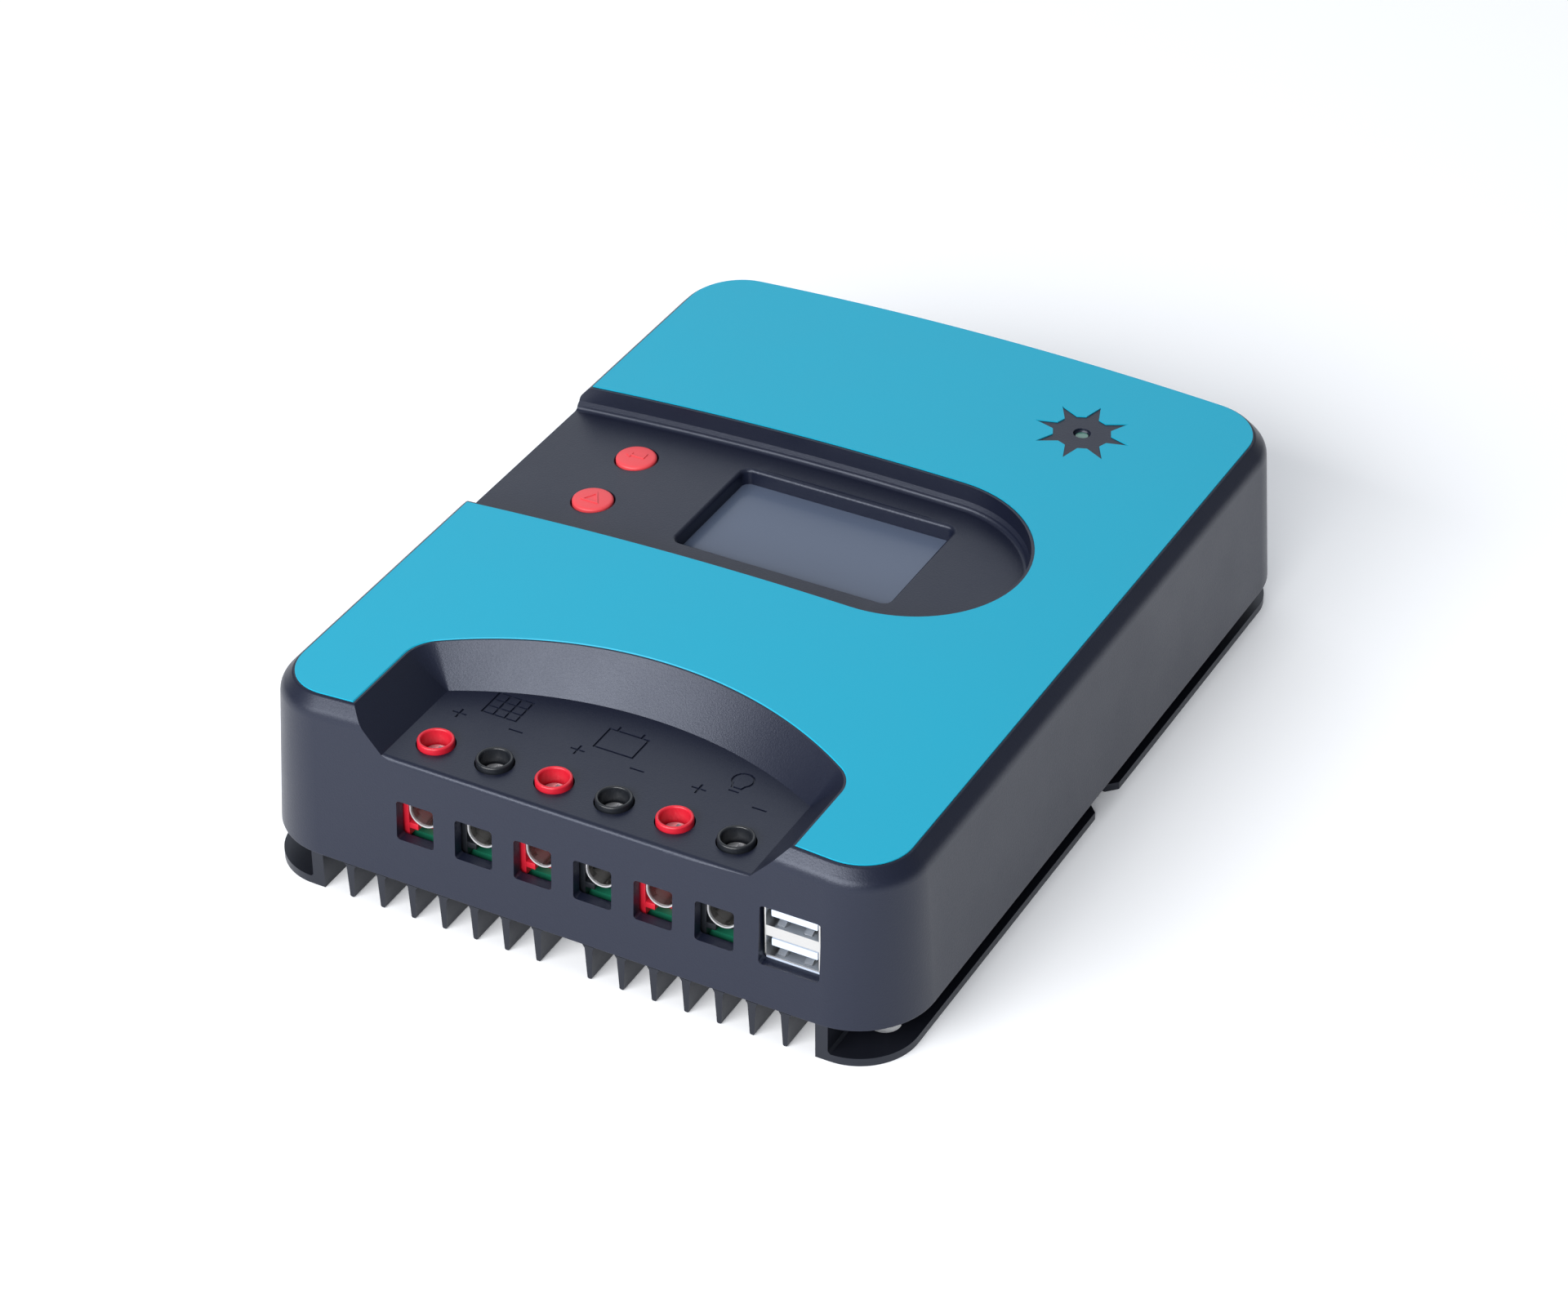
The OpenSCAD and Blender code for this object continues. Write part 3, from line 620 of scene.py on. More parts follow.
def hole_cutter(shape, centre, r, flare, z_low):
    """Cuts a round hole in the recess floor, with its upper edge rounded outwards."""
    steps = 64

    def ring(radius, z_of):
        turns = [2 * math.pi * k / steps for k in range(steps)]
        plan = [(centre[0] + radius * math.cos(a), centre[1] + radius * math.sin(a)) for a in turns]
        return [(x, y, z_of(x)) for x, y in plan]

    rings = [ring(r, lambda x: z_low)]
    for k in range(4):
        a = math.radians(30 * k)
        rings.append(ring(r + flare * (1 - math.cos(a)),
                          lambda x, a=a: floor_z(shape, x) - flare + flare * math.sin(a) + 0.02))
    rings.append(ring(r + flare, lambda x: shape.top + 8))
    return loft("hole cutter", rings)


def bar_between(a, b, w, z0, z1):
    """A straight engraved stroke."""
    d = Vector((b[0] - a[0], b[1] - a[1]))
    n = Vector((-d.y, d.x)).normalized() * w / 2
    t = d.normalized() * w / 2
    a, b = Vector(a) - t, Vector(b) + t
    return prism("stroke", [tuple(a + n), tuple(a - n), tuple(b - n), tuple(b + n)][::-1], z0, z1)


def sign_strokes(shape):
    """Generic plus, minus, panel, battery and lamp signs for the terminal recess's floor."""
    z0, z1 = shape.ledge_z - shape.sign_depth, shape.ledge_z + 1
    line, arm = 0.5, 1.5
    out = []

    def stroke(a, b):
        out.append(bar_between(a, b, line, z0, z1))

    pluses = ((-38.5, -82), (-8.8, -81.6), (21.2, -81.6))
    minuses = ((-24.2, -82), (6.2, -82), (36.1, -82))
    for x, y in pluses:
        stroke((x - arm, y), (x + arm, y))
        stroke((x, y - arm), (x, y + arm))
    for x, y in minuses:
        stroke((x - arm, y), (x + arm, y))
    # panel: a grid of four lines each way
    for k in range(4):
        x = -34.6 + 8.6 * k / 3
        stroke((x, -79), (x, -71.4))
        y = -79 + 7.6 * k / 3
        stroke((-34.6, y), (-26, y))
    # battery: a case with two poles
    left, right, low, high, tip = -6.4, 3.2, -78.8, -71.6, -70.2
    corners = ((left, low), (right, low), (right, high), (left, high), (left, low))
    for a, b in zip(corners, corners[1:]):
        stroke(a, b)
    for x in (-4.6, 1.4):
        stroke((x, high), (x, tip))
    # lamp: a bulb with its neck and foot
    bulb = arc(28.2, -74.6, 2.4, -50, 230, 14)
    neck_left, neck_right = (27.1, -77.6), (29.3, -77.6)
    for a, b in zip(bulb, bulb[1:]):
        stroke(a, b)
    stroke(bulb[0], neck_right)
    stroke(bulb[-1], neck_left)
    stroke(neck_left, neck_right)
    stroke((27.2, -78.9), (29.2, -78.9))
    return out


def sun_outline(cx, cy, r):
    """A small sun with eight pointed rays."""
    pts = []
    for k in range(8):
        a = k * 45 + 3
        for turn, share in ((-13, 0.585), (0, 1.0), (13, 0.585), (22.5, 0.575)):
            t = math.radians(a + turn)
            pts.append((cx + r * share * math.cos(t), cy + r * share * math.sin(t)))
    return pts


class CONTROLLER_OT_cover(bpy.types.Operator):
    """Build the moulded cover with its recesses, windows and engraved signs"""

    bl_idname = "controller.cover"
    bl_label = "Cover"

    def execute(self, context):
        c = CoverShape()
        piece = c.body()
        cutters = [self.cavity(c), c.recess_cutter(), c.ledge_cutter()]
        cutters += self.display_cutters(c) + self.button_cutters(c) + self.front_cutters()
        pipe = [(0, 36.5), (2.55, 36.5), (2.55, 40.5), (1.6, 40.5), (1.6, 49.2), (2.1, 49.9), (2.1, ABOVE), (0, ABOVE)]
        cutters.append(lathe("pipe hole", pipe, middle("light_pipe"), 48))
        cutters += sign_strokes(c)
        combine(piece, cutters)
        self.round_lip(piece, c)
        soften(piece, c.rounding * MM, 3)
        finish_piece(piece, "cover_shell", textured_plastic(), replaces=("top_cover",))
        return {"FINISHED"}

    def cavity(self, c):
        """The room inside the cover, less the posts for the screws."""
        roof = 38.4
        room = loft("cavity", [
            [(x, y, c.rim - 1) for x, y in c.outline(c.wall)],
            [(x, y, roof) for x, y in c.outline(c.wall + c.lean * 29)]])
        posts = []
        for node, r, foot in (("cover_screws", 3.75, 13.4), ("display_screws", 3, 36.9)):
            posts += [cylinder("post", r, place, foot, 39) for place in screw_places(node)]
        return combine(room, posts)

    def display_cutters(self, c):
        """The display's opening, smaller than its window all round, and the pocket behind it."""
        low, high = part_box("lcd_window")
        x, y, _ = middle("lcd_window")
        cover_up, half_x, half_y = 3, 30.2, 20.2
        size = ((high.x - low.x) / MM - cover_up, (high.y - low.y) / MM - cover_up)
        bezel = high.z / MM
        return [opening_cutter(c, (x, y), size, 2, 1.1, bezel - 3),
                box("display pocket", (x - half_x, y - half_y, 30), (x + half_x, y + half_y, bezel))]

    def button_cutters(self, c):
        """A hole for each button's cap, and a wider pocket below it for the cap's brim."""
        out = []
        for node in ("button_enter", "button_up"):
            low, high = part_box(node)
            at = middle(node)
            out.append(hole_cutter(c, at, 5.2, 0.35, 36))
            out.append(cylinder("button pocket", 6.6, at, 30, low.z / MM + 1.3))
        return out

    def front_cutters(self):
        """A wire window and a screw well for each clamp, and the USB window."""
        out = []
        for i in CLAMPS:
            x = middle(f"terminal_screw_{i}")[0]
            out.append(prism_y("window", rounded_rect(9.4, 9.9, 0.8, 6, x, 25.45), WALL_FRONT, WALL_BACK))
            out.append(cylinder("well", 4.45, (x, SCREW_Y), 30, 50))
        x, _, z = middle("usb_shell")
        out.append(prism_y("usb window", rounded_rect(14.5, 14.8, 0.8, 6, x, z - 0.7), WALL_FRONT, WALL_BACK))
        return out

    def round_lip(self, piece, c):
        """Gives the front edge of the terminal recess's floor a larger rounding than the other edges."""
        work = merged_copy(piece)
        level, front = c.ledge_z * MM, (3.4 - c.hy) * MM
        lip = [e for e in work.edges if all(abs(v.co.z - level) < 5e-5 and v.co.y < front for v in e.verts)
               and len(e.link_faces) == 2 and e.calc_face_angle() > 1]
        bmesh.ops.bevel(work, geom=lip, offset=c.lip * MM, offset_type="OFFSET", segments=4, profile=0.5,
                        affect="EDGES", clamp_overlap=False)
        work.to_mesh(piece.data)
        work.free()


def screw_places(node):
    """Middles of the separate solids of a node, from its mesh in the frame."""
    work = bmesh.new()
    work.from_mesh(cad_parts[node].data)
    bmesh.ops.remove_doubles(work, verts=work.verts, dist=1e-6)
    seen, out = set(), []
    for v in work.verts:
        if v.index in seen:
            continue
        stack, group = [v], []
        while stack:
            w = stack.pop()
            if w.index in seen:
                continue
            seen.add(w.index)
            group.append(w.co.copy())
            stack += [e.other_vert(w) for e in w.link_edges]
        xs, ys = [p.x for p in group], [p.y for p in group]
        out.append(((min(xs) + max(xs)) / 2 / MM, (min(ys) + max(ys)) / 2 / MM))
    work.free()
    return out


class CONTROLLER_OT_label(bpy.types.Operator):
    """Build the teal film on the cover"""

    bl_idname = "controller.label"
    bl_label = "Label"

    def execute(self, context):
        c = CoverShape()
        margin, recess_margin, ledge_margin, below = 0.45, 0.75, 0.5, 40
        rings = []
        for inset, dz in ((0.0, -0.03), (0.0, 0.2), (0.06, 0.25)):
            rings.append([(x, y, c.crown_z(x) + dz) for x, y in c.outline(c.inset_top + margin + inset, nx=60)])
        piece = loft("label", rings, bottom="strips", top="strips")
        plan = [(x, y) for x, y, z in c.recess_ring(lambda a: 0.0, lambda x: 0.0, outset=recess_margin)]
        combine(piece, [
            prism("recess edge", plan, below, ABOVE),
            c.ledge_cutter((5, 7, 9, 11, 13), ledge_margin),
            prism("sun", sun_outline(39.2, 71.3, 11.9), below, ABOVE)])
        shade(piece, 35)
        finish_piece(piece, "label_film", label_film(), replaces=("front_label",))
        return {"FINISHED"}


# ---------- display, buttons and light ----------


class CONTROLLER_OT_display(bpy.types.Operator):
    """Finish the display, its window and the light pipe"""

    bl_idname = "controller.display"
    bl_label = "Display"

    def execute(self, context):
        glass = finish("display glass", (0.085, 0.110, 0.168), 0.22, grain=900, height=0.02, rough_change=0.02,
                       colour_change=0.02, specular=0.3)
        set_finish("lcd_window", glass)
        set_finish("lcd_module", finish("display frame", (0.3, 0.31, 0.33), 0.35, metal=0.6))
        set_finish("light_pipe", finish("green light pipe", (0.05, 0.16, 0.13), 0.2, coat=0.6))
        set_finish("status_led", finish("lamp body", (0.75, 0.75, 0.7), 0.4))
        return {"FINISHED"}


def set_finish(node, material):
    """Gives a piece of the frame its material and leaves its shape alone."""
    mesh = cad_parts[node].data
    if not mesh.materials:
        mesh.materials.append(material)
    for k in range(len(mesh.materials)):
        mesh.materials[k] = material


class CONTROLLER_OT_buttons(bpy.types.Operator):
    """Build the two soft button caps with their raised signs"""

    bl_idname = "controller.buttons"
    bl_label = "Buttons"

    def execute(self, context):
        for node, body in (("button_enter", "enter_button"), ("button_up", "up_button")):
            low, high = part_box(node)
            at = middle(node)
            z0, z1 = low.z / MM, high.z / MM - 0.2
            r = 4.9
            profile = [(0, z0), (5.8, z0), (5.9, z0 + 0.1), (5.9, z0 + 0.7), (5.8, z0 + 0.8), (r, z0 + 0.85)]
            for k in range(8):
                a = math.radians(90 * k / 7)
                profile.append((r - 0.9 + 0.9 * math.cos(a), z1 - 0.75 + 0.6 * math.sin(a)))
            profile += [(r - 1.6, z1 - 0.08), (r - 2.6, z1 - 0.02), (r - 3.6, z1), (0, z1)]
            cap = lathe("cap", profile, at, 72)
            sign = self.triangle(at, z1) if node == "button_up" else self.arrow(at, z1)
            combine(cap, [sign], "UNION")
            soften(cap, 0.00006, 1, 50, 38)
            finish_piece(cap, node + "_cap", button_rubber(), body, (node,))
        return {"FINISHED"}

    def triangle(self, at, top):
        """A raised open triangle that points back."""
        x, y = at[0], at[1] - 0.4
        outer, inner = ([(x + r * math.cos(math.radians(a)), y + r * math.sin(math.radians(a))) for a in (90, 210, 330)]
                        for r in (2.7, 1.9))
        sign = prism("sign", outer, top - 0.4, top + 0.18)
        return combine(sign, [prism("hole", inner, top - 1, top + 1)])

    def arrow(self, at, top):
        """A raised enter arrow: its head points left, and its tail turns back at the right."""
        x, y = at[0], at[1]
        plan = [(x - 2.6, y - 0.2), (x - 1.2, y - 1.2), (x - 1.2, y - 0.45), (x + 2.2, y - 0.45), (x + 2.2, y + 1.6),
                (x + 1.7, y + 1.6), (x + 1.7, y + 0.05), (x - 1.2, y + 0.05), (x - 1.2, y + 0.8)]
        return prism("sign", plan, top - 0.4, top + 0.18)


# ---------- clamps ----------


class CONTROLLER_OT_clamps(bpy.types.Operator):
    """Build the clamp housings with their collars, and the clamp screws"""

    bl_idname = "controller.clamps"
    bl_label = "Clamps"

    def execute(self, context):
        for i in CLAMPS:
            self.housing(i)
            self.screw(i)
            self.cage(i)
            set_finish(f"terminal_bar_{i}", clamp_metal_painted_sheen())
        return {"FINISHED"}

    def housing(self, i):
        """A block with a room for its cage, slots for the contact bar, and a collar round the screw's well."""
        low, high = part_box(f"terminal_housing_{i}")
        x = middle(f"terminal_housing_{i}")[0]
        y0, y1, z0, top = low.y / MM, high.y / MM, low.z / MM, high.z / MM
        block_half, block_top, front_half, slot_half, well_r = 7.1, 36.6, 3.75, 3.35, 3.3
        piece = box("housing", (x - block_half, y0, z0), (x + block_half, y1, block_top))
        combine(piece, [
            box("front", (x - front_half, y0 - 1, z0 - 1), (x + front_half, y0 + 3, 33)),
            box("foot", (x - front_half, y0 - 1, z0 - 1), (x + front_half, -96.5, 21.7)),
            box("room", (x - 5.4, -98.9, 21.6), (x + 5.4, -89.1, 35.2)),
            box("bar slot", (x - slot_half, SCREW_Y, 27.7), (x + slot_half, -85.9, 29.1)),
            box("leg slot", (x - slot_half, -87.3, z0 - 1), (x + slot_half, -85.9, 29)),
            cylinder("screw hole", 2.2, (x, SCREW_Y), 30, 50)])
        collar = lathe("collar", self.collar(block_top - 0.5, top), (x, SCREW_Y), 64)
        combine(collar, [cylinder("well", well_r, (x, SCREW_Y), block_top, ABOVE, 64)])
        combine(piece, [cylinder("well floor", well_r, (x, SCREW_Y), block_top - 0.3, ABOVE, 64)])
        stop = box("stop", (x - 3.95, y0 + 0.1, 21.2), (x - 1.5, -99.1, 22.75))
        nub = box("nub", (x + 3.0, y0 + 0.1, 21.5), (x + 3.95, -99.1, 22.5))
        parts = [soften(piece, 0.00025, 2), shade(collar, 35), soften(stop, 0.0002, 2), soften(nub, 0.0002, 2)]
        out = join("housing", parts)
        red = i % 2 == 1
        finish_piece(out, f"clamp_housing_{i}", red_plastic() if red else black_plastic(),
                     replaces=(f"terminal_housing_{i}",))

    def cage(self, i):
        """The lifting cage: a bent band, round below and flat above, with its threaded top and its mouth."""
        low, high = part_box(f"terminal_cage_{i}")
        x, y0, y1 = middle(f"terminal_cage_{i}")[0], low.y / MM, high.y / MM
        z0, z1 = low.z / MM, high.z / MM
        r = (high.x - low.x) / 2 / MM
        mouth_z = z0 + 4.3

        def band(inset, top):
            return arc(x, z0 + r, r - inset, 180, 360, 28) + [(x + r - inset - 0.3, top), (x - r + inset + 0.3, top)]

        piece = prism_y("cage", band(0.03, z1), y0 + 0.02, y1 - 0.02)
        combine(piece, [prism_y("inside", band(0.9, z1 - 2.6), y0 - 1, y1 + 1),
                        cylinder("thread", 2.1, (x, SCREW_Y), z1 - 4, z1 + 1)])
        tubes = []
        for back, front in ((y0 + 0.1, y0 - 1.5), (y0 - 1.5, y0 - 2.1)):
            tube = prism_y("tube", self.mouth(x, mouth_z, 3.68, z0 + 7.5), front, back)
            combine(tube, [prism_y("inside", self.mouth(x, mouth_z, 3.3, z0 + 7.15), front - 1, back + 1)])
            tubes.append(soften(tube, 0.00008, 2, 40))
        out = join("cage", [soften(piece, 0.0002, 3, 40), tubes[0]])
        finish_piece(out, f"clamp_cage_{i}", nickel(), f"cage_{i}", (f"terminal_cage_{i}",))
        # The mouth's front ring takes the clamp metal with its painted sheen, so it shows lighter than the nickel cage
        # behind it.
        finish_piece(tubes[1], f"clamp_mouth_{i}", clamp_metal_painted_sheen(), f"cage_{i}")

    def mouth(self, x, z, r, top):
        """Outline of the mouth in X and Z: round below, flat above with cut corners."""
        cut = 0.5
        flat = [(x + r, top - cut), (x + r - cut, top), (x - r + cut, top), (x - r, top - cut)]
        return arc(x, z, r, 180, 360, 28) + flat

    def collar(self, z0, z1):
        """Profile of the raised collar, with a round rim."""
        r, inner = 4.15, 3.3
        profile = [(0, z0), (r, z0)]
        for k in range(9):
            a = math.radians(180 * k / 8)
            profile.append(((r + inner) / 2 + 0.42 * math.cos(a), z1 - 0.42 + 0.42 * math.sin(a)))
        profile += [(3.1, z1 - 0.6), (0, z1 - 0.6)]
        return profile

    def screw(self, i):
        """The clamp screw: a ridged shank, and a round head with a cross slot."""
        low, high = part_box(f"terminal_screw_{i}")
        x = middle(f"terminal_screw_{i}")[0]
        z0, z1 = low.z / MM, high.z / MM
        head = z1 - 2.4
        crest, groove, pitch, head_r, slot_depth = 1.98, 1.66, 0.7, 3.03, 1.3
        profile = [(0, z0), (1.5, z0), (crest, z0 + 0.5)]
        z = z0 + 0.5
        while z < head - 0.8:
            profile += [(crest, z + 0.1), (groove, z + 0.35), (crest, z + 0.6)]
            z += pitch
        profile += [(crest, head), (2.9, head), (head_r, head + 0.15), (head_r, head + 1.5), (2.9, head + 1.9),
                    (2.5, head + 2.2), (0, z1)]
        piece = lathe("screw", profile, (x, SCREW_Y), 48)
        combine(piece, [
            box("slot a", (x - 2.0, -94.42, z1 - slot_depth), (x + 2.0, -93.58, z1 + 1)),
            box("slot b", (x - 0.42, -96.0, z1 - slot_depth), (x + 0.42, -92.0, z1 + 1))])
        soften(piece, 0.00008, 2, 40, 35)
        # The screw takes the clamp metal with its painted sheen, so its head looks lit inside the dark well.
        finish_piece(piece, f"clamp_screw_{i}", clamp_metal_painted_sheen(), f"screw_{i}", (f"terminal_screw_{i}",))


# ---------- USB socket ----------


class CONTROLLER_OT_usb(bpy.types.Operator):
    """Finish the stacked USB socket and add its spring tongues"""

    bl_idname = "controller.usb"
    bl_label = "USB socket"

    def execute(self, context):
        set_finish("usb_shell", nickel())
        set_finish("usb_contacts", finish("gold plate", (0.85, 0.62, 0.25), 0.25, metal=1.0))
        x0, y0 = middle("usb_shell")[0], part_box("usb_shell")[0].y / MM
        port_z, port_step = 21.5, 7.8
        arch = [(0, 0), (0.25, 0), (1.2, 0.55), (2.6, 0.75), (5.5, 0.35), (7.5, 0.05), (7.5, 0)]
        springs = []
        blocks = [box("base", (x0 - 6.9, y0 + 1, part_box("usb_insulator")[0].z / MM), (x0 + 6.9, y0 + 17, 21.1))]
        for k in range(2):
            z = port_z + k * port_step
            blocks.append(box("tongue", (x0 - 5.5, y0 + 0.9, z + 1.9), (x0 + 5.5, y0 + 12.5, z + 3.8)))
            blocks.append(box("back", (x0 - 6.3, y0 + 12.3, z + 0.1), (x0 + 6.3, y0 + 13.8, z + 4.8)))
            for dx in (-3.2, 3.2):
                rings = []
                for side in (-0.95, 0.95):
                    rings.append([(x0 + dx + side, y0 + 0.6 + a, z - 0.02 + b) for a, b in arch])
                springs.append(soften(loft("spring", rings), 0.0001, 2))
        white = finish("white socket plastic", (0.58, 0.66, 0.80), 0.35, height=0.1)
        tongues = join("tongues", [soften(b, 0.0002, 2) for b in blocks])
        finish_piece(tongues, "usb_tongues", white, replaces=("usb_insulator",))
        out = join("springs", springs)
        finish_piece(out, "usb_springs", nickel())
        return {"FINISHED"}


# ---------- heat sink ----------


def fin_tree():
    """Sets fins in two groups, at a pitch, on both sides of a free middle."""
    t = bpy.data.node_groups.new("fin rows", "GeometryNodeTree")
    group_socket(t, "Fin", "INPUT", "NodeSocketGeometry")
    group_socket(t, "Pitch", "INPUT", "NodeSocketFloat", 0.008)
    group_socket(t, "Middle", "INPUT", "NodeSocketFloat", 0.0129)
    group_socket(t, "Count", "INPUT", "NodeSocketInt", 7)
    group_socket(t, "Material", "INPUT", "NodeSocketMaterial")
    group_socket(t, "Geometry", "OUTPUT", "NodeSocketGeometry")
    n, l = t.nodes, t.links
    gin, gout = n.new("NodeGroupInput"), n.new("NodeGroupOutput")
    both = n.new("GeometryNodeJoinGeometry")
    for side in (-1, 1):
        line = n.new("GeometryNodeMeshLine")
        line.mode = "OFFSET"
        l.new(gin.outputs["Count"], line.inputs["Count"])
        start = n.new("ShaderNodeMath")
        start.operation = "MULTIPLY"
        l.new(gin.outputs["Middle"], start.inputs[0])
        start.inputs[1].default_value = side / 2
        place = n.new("ShaderNodeCombineXYZ")
        l.new(start.outputs[0], place.inputs["X"])
        l.new(place.outputs[0], line.inputs["Start Location"])
        step = n.new("ShaderNodeMath")
        step.operation = "MULTIPLY"
        l.new(gin.outputs["Pitch"], step.inputs[0])
        step.inputs[1].default_value = side
        move = n.new("ShaderNodeCombineXYZ")
        l.new(step.outputs[0], move.inputs["X"])
        l.new(move.outputs[0], line.inputs["Offset"])
        copy = n.new("GeometryNodeInstanceOnPoints")
        l.new(line.outputs["Mesh"], copy.inputs["Points"])
        l.new(gin.outputs["Fin"], copy.inputs["Instance"])
        l.new(copy.outputs["Instances"], both.inputs["Geometry"])
    real = n.new("GeometryNodeRealizeInstances")
    paint = n.new("GeometryNodeSetMaterial")
    l.new(both.outputs["Geometry"], real.inputs["Geometry"])
    l.new(real.outputs["Geometry"], paint.inputs["Geometry"])
    l.new(gin.outputs["Material"], paint.inputs["Material"])
    l.new(paint.outputs["Geometry"], gout.inputs["Geometry"])
    return t


class CONTROLLER_OT_heat_sink(bpy.types.Operator):
    """Build the heat sink: base, side walls, flanges with notches, and rows of fins"""

    bl_idname = "controller.heat_sink"
    bl_label = "Heat sink"

    def execute(self, context):
        s = context.scene.controller_fins
        metal = anodised()
        _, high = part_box("heat_sink")
        half, hy, base_top = high.x / MM, high.y / MM, high.z / MM
        flange, hole_r, base_z = 2, 3.7, 9
        root, tip = s.root / MM, s.tip / MM
        outline = [(-tip / 2, 0.25), (-tip / 2 + 0.25, 0), (tip / 2 - 0.25, 0), (tip / 2, 0.25), (root / 2, 8.2),
                   (root / 2 + 0.5, 8.95), (-root / 2 - 0.5, 8.95), (-root / 2, 8.2)]
        fins = shade(prism_y("fins", outline, -hy, hy), 30)
        tree = fin_tree()
        rows = fins.modifiers.new("fin rows", "NODES")
        rows.node_group = tree
        values = {"Pitch": s.pitch, "Middle": s.middle, "Count": s.count, "Material": metal}
        for item in tree.interface.items_tree:
            if item.in_out == "INPUT" and item.name in values:
                rows[item.identifier] = values[item.name]
        evaluated(fins)
        wall = s.middle / MM / 2 + s.count * s.pitch / MM - root / 2 + 0.2
        sides = []
        for side in (-1, 1):
            profile = [(wall, 0), (half, 0), (half, flange), (wall + 3.6, flange), (wall + 3, 2.6), (wall + 3, 9.2),
                       (wall, 9.2)]
            shape = prism_y("side", [(side * x, z) for x, z in profile], -hy, hy)
            combine(shape, [prism("keep", rounded_rect(2 * half, 2 * hy, 14, 20), -1, 12)], "INTERSECT")
            notch = [(side * x, y) for x, y in self.notch(half)]
            combine(shape, [prism("notch", notch, -1, 4)])
            for x, y in screw_places("cover_screws"):
                if x * side > 0:
                    combine(shape, [cylinder("hole", hole_r, (x, y), -1, 4)])
            sides.append(soften(shape, 0.0002, 2))
        # the base fills the cover's rim, less the cover's wall and a clearance
        wall_t, gap = 2.6, 0.61
        half_x, half_y = 80.8 - wall_t - gap, 105.2 - wall_t - gap
        base = soften(prism("base", rounded_rect(2 * half_x, 2 * half_y, 15, 16), base_z, base_top), 0.0003, 2)
        for x, y in screw_places("cover_screws"):
            combine(base, [cylinder("hole", 1.7, (x, y), 5, 20)])
        out = join("heat sink", [fins, base] + sides)
        finish_piece(out, "heat_sink_body", metal, replaces=("heat_sink",))
        return {"FINISHED"}

    def notch(self, edge):
        """Plan of an open notch on the right: round inner end, straight sides, lead-ins at the edge."""
        y, r, depth = 4, 4, 10
        lead_x, lead_y = 2.4, 4.6
        lower = [(edge + 2, y - r - lead_y), (edge - lead_x, y - r)]
        upper = [(edge - lead_x, y + r), (edge + 2, y + r + lead_y)]
        return lower + arc(edge - depth + r, y, r, 270, 90, 20) + upper


class CONTROLLER_OT_inside(bpy.types.Operator):
    """Finish the parts inside the cover"""

    bl_idname = "controller.inside"
    bl_label = "Inside parts"

    def execute(self, context):
        board = finish("green board", (0.012, 0.15, 0.085), 0.3, grain=700, height=0.1, coat=0.3)
        black = finish("black moulding", (0.015, 0.015, 0.016), 0.45)
        plan = {
            "main_board": board, "display_board": board, "switch_bodies": black, "power_transistors": black,
            "plunger_enter": black, "plunger_up": black, "control_chip": black, "driver_chips": black,
            "board_header": black, "display_socket": black, "cover_screws": zinc(), "board_screws": zinc(),
            "display_screws": zinc(), "transistor_screws": zinc(),
            "board_spacers": finish("brass", (0.75, 0.55, 0.25), 0.3, metal=1.0),
            "inductor_cores": finish("coated core", (0.5, 0.42, 0.06), 0.6, grain=900, height=0.5),
            "inductor_windings": finish("enamelled copper", (0.5, 0.17, 0.05), 0.28, metal=0.8, grain=500, height=0.8),
            "input_capacitors": finish("capacitor sleeve", (0.02, 0.03, 0.09), 0.3, coat=0.4),
            "output_capacitors": finish("capacitor sleeve", (0.02, 0.03, 0.09), 0.3, coat=0.4),
            "thermal_pad": finish("thermal pad", (0.3, 0.36, 0.45), 0.8),
            "current_shunt": finish("shunt alloy", (0.55, 0.42, 0.3), 0.35, metal=1.0),
            "fuses": finish("amber fuse", (0.75, 0.4, 0.03), 0.3, coat=0.4),
        }
        for node, material in plan.items():
            set_finish(node, material)
        return {"FINISHED"}


# ---------- stage ----------


def area_light(name, place, target, size, power, tint=(1, 1, 1)):
    """A rectangular light at a place in metres, turned to its target."""
    lamp = bpy.data.lights.new(name, "AREA")
    lamp.shape = "RECTANGLE"
    lamp.size, lamp.size_y = size
    lamp.energy = power
    lamp.color = tint
    holder = bpy.data.objects.new(name, lamp)
    holder.location = place
    holder.rotation_mode = "QUATERNION"
    holder.rotation_quaternion = (Vector(target) - Vector(place)).to_track_quat("-Z", "Y")
    bpy.context.scene.collection.objects.link(holder)


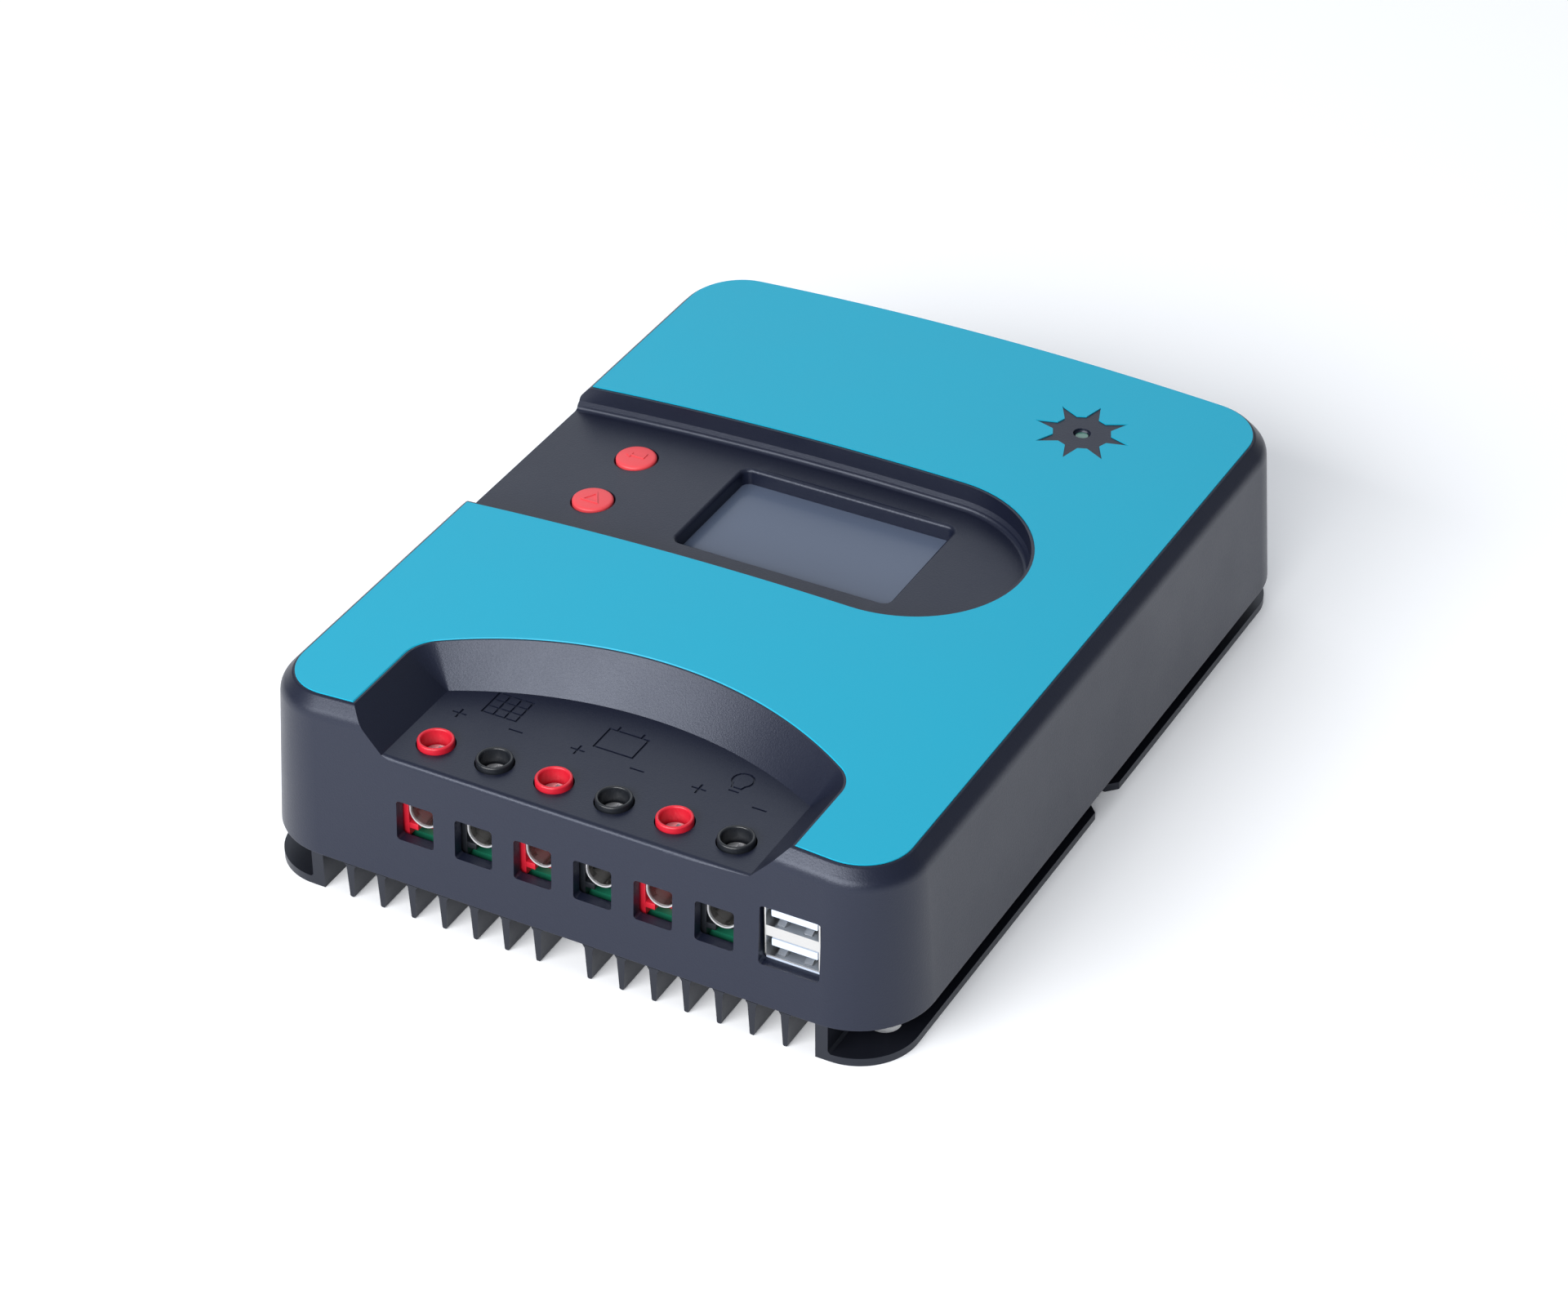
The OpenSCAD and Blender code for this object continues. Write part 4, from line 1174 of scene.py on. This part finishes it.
class CONTROLLER_OT_stage(bpy.types.Operator):
    """Set the camera, the pale floor and the studio lights"""

    bl_idname = "controller.stage"
    bl_label = "Stage"

    def execute(self, context):
        scene = context.scene
        place = Vector((394.05, -727.51, 601.37)) * MM
        aim = Vector((1.106, -6.276, 25)) * MM
        forward = (aim - place).normalized()
        level = forward.cross(Vector((0, 0, 1))).normalized()
        upright = level.cross(forward)
        roll = math.radians(-0.419)
        right = math.cos(roll) * level + math.sin(roll) * upright
        up = -math.sin(roll) * level + math.cos(roll) * upright
        lens = bpy.data.cameras.new("camera")
        lens.sensor_width = 36
        lens.sensor_fit = "HORIZONTAL"
        lens.lens = 100.31625
        lens.clip_start, lens.clip_end = 0.05, 20
        camera = bpy.data.objects.new("camera", lens)
        camera.matrix_world = Matrix((
            (right.x, up.x, -forward.x, place.x), (right.y, up.y, -forward.y, place.y),
            (right.z, up.z, -forward.z, place.z), (0, 0, 0, 1)))
        scene.collection.objects.link(camera)
        scene.camera = camera

        reach, z = 3000, -0.05
        floor = new_object("floor", [(-reach, -reach, z), (reach, -reach, z), (reach, reach, z), (-reach, reach, z)],
                           [(0, 1, 2, 3)])
        floor.data.materials.append(finish("pale floor", (0.93, 0.94, 0.96), 0.8, grain=40, height=0.0,
                                           colour_change=0.0, glow=(0.4, 0.41, 0.43)))

        world = bpy.data.worlds.new("studio")
        scene.world = world
        world.use_nodes = True
        sky = world.node_tree.nodes["Background"]
        sky.inputs["Color"].default_value = (0.90, 0.94, 1.0, 1)
        sky.inputs["Strength"].default_value = 0.28

        centre = (0, 0, 0.03)
        area_light("front softbox", (-0.2, -1.35, 0.84), centre, (1.9, 0.7), 41)
        area_light("back panel", (-0.7, 1.3, 1.03), centre, (2.0, 1.6), 9, (0.92, 0.96, 1.0))
        area_light("overhead panel", (0, 0, 1.7), (0, 0.001, 0.03), (0.95, 0.95), 3.6)
        scene.view_settings.view_transform = "Standard"
        scene.view_settings.look = "None"
        return {"FINISHED"}


# ---------- panel, registration and the run ----------

PIECES = (CONTROLLER_OT_stage, CONTROLLER_OT_cover, CONTROLLER_OT_label, CONTROLLER_OT_display, CONTROLLER_OT_buttons,
          CONTROLLER_OT_clamps, CONTROLLER_OT_usb, CONTROLLER_OT_heat_sink, CONTROLLER_OT_inside)


class CONTROLLER_PT_panel(bpy.types.Panel):
    """Lists the pieces and their sizes"""

    bl_idname = "CONTROLLER_PT_panel"
    bl_label = "Charge controller"
    bl_space_type = "VIEW_3D"
    bl_region_type = "UI"
    bl_category = "Controller"

    def draw(self, context):
        for piece in PIECES:
            self.layout.operator(piece.bl_idname)
        for group in (context.scene.controller_cover, context.scene.controller_colours, context.scene.controller_fins):
            section = self.layout.box()
            for key in group.__annotations__:
                section.prop(group, key)


CLASSES = (CoverSizes, LookColours, FinSizes) + PIECES + (CONTROLLER_PT_panel,)


def register():
    for item in CLASSES:
        bpy.utils.register_class(item)
    bpy.types.Scene.controller_cover = PointerProperty(type=CoverSizes)
    bpy.types.Scene.controller_colours = PointerProperty(type=LookColours)
    bpy.types.Scene.controller_fins = PointerProperty(type=FinSizes)


def unregister():
    del bpy.types.Scene.controller_fins
    del bpy.types.Scene.controller_colours
    del bpy.types.Scene.controller_cover
    for item in reversed(CLASSES):
        bpy.utils.unregister_class(item)


def main():
    register()
    for piece in PIECES:
        group, name = piece.bl_idname.split(".")
        getattr(getattr(bpy.ops, group), name)()


if __name__ == "__main__":
    main()
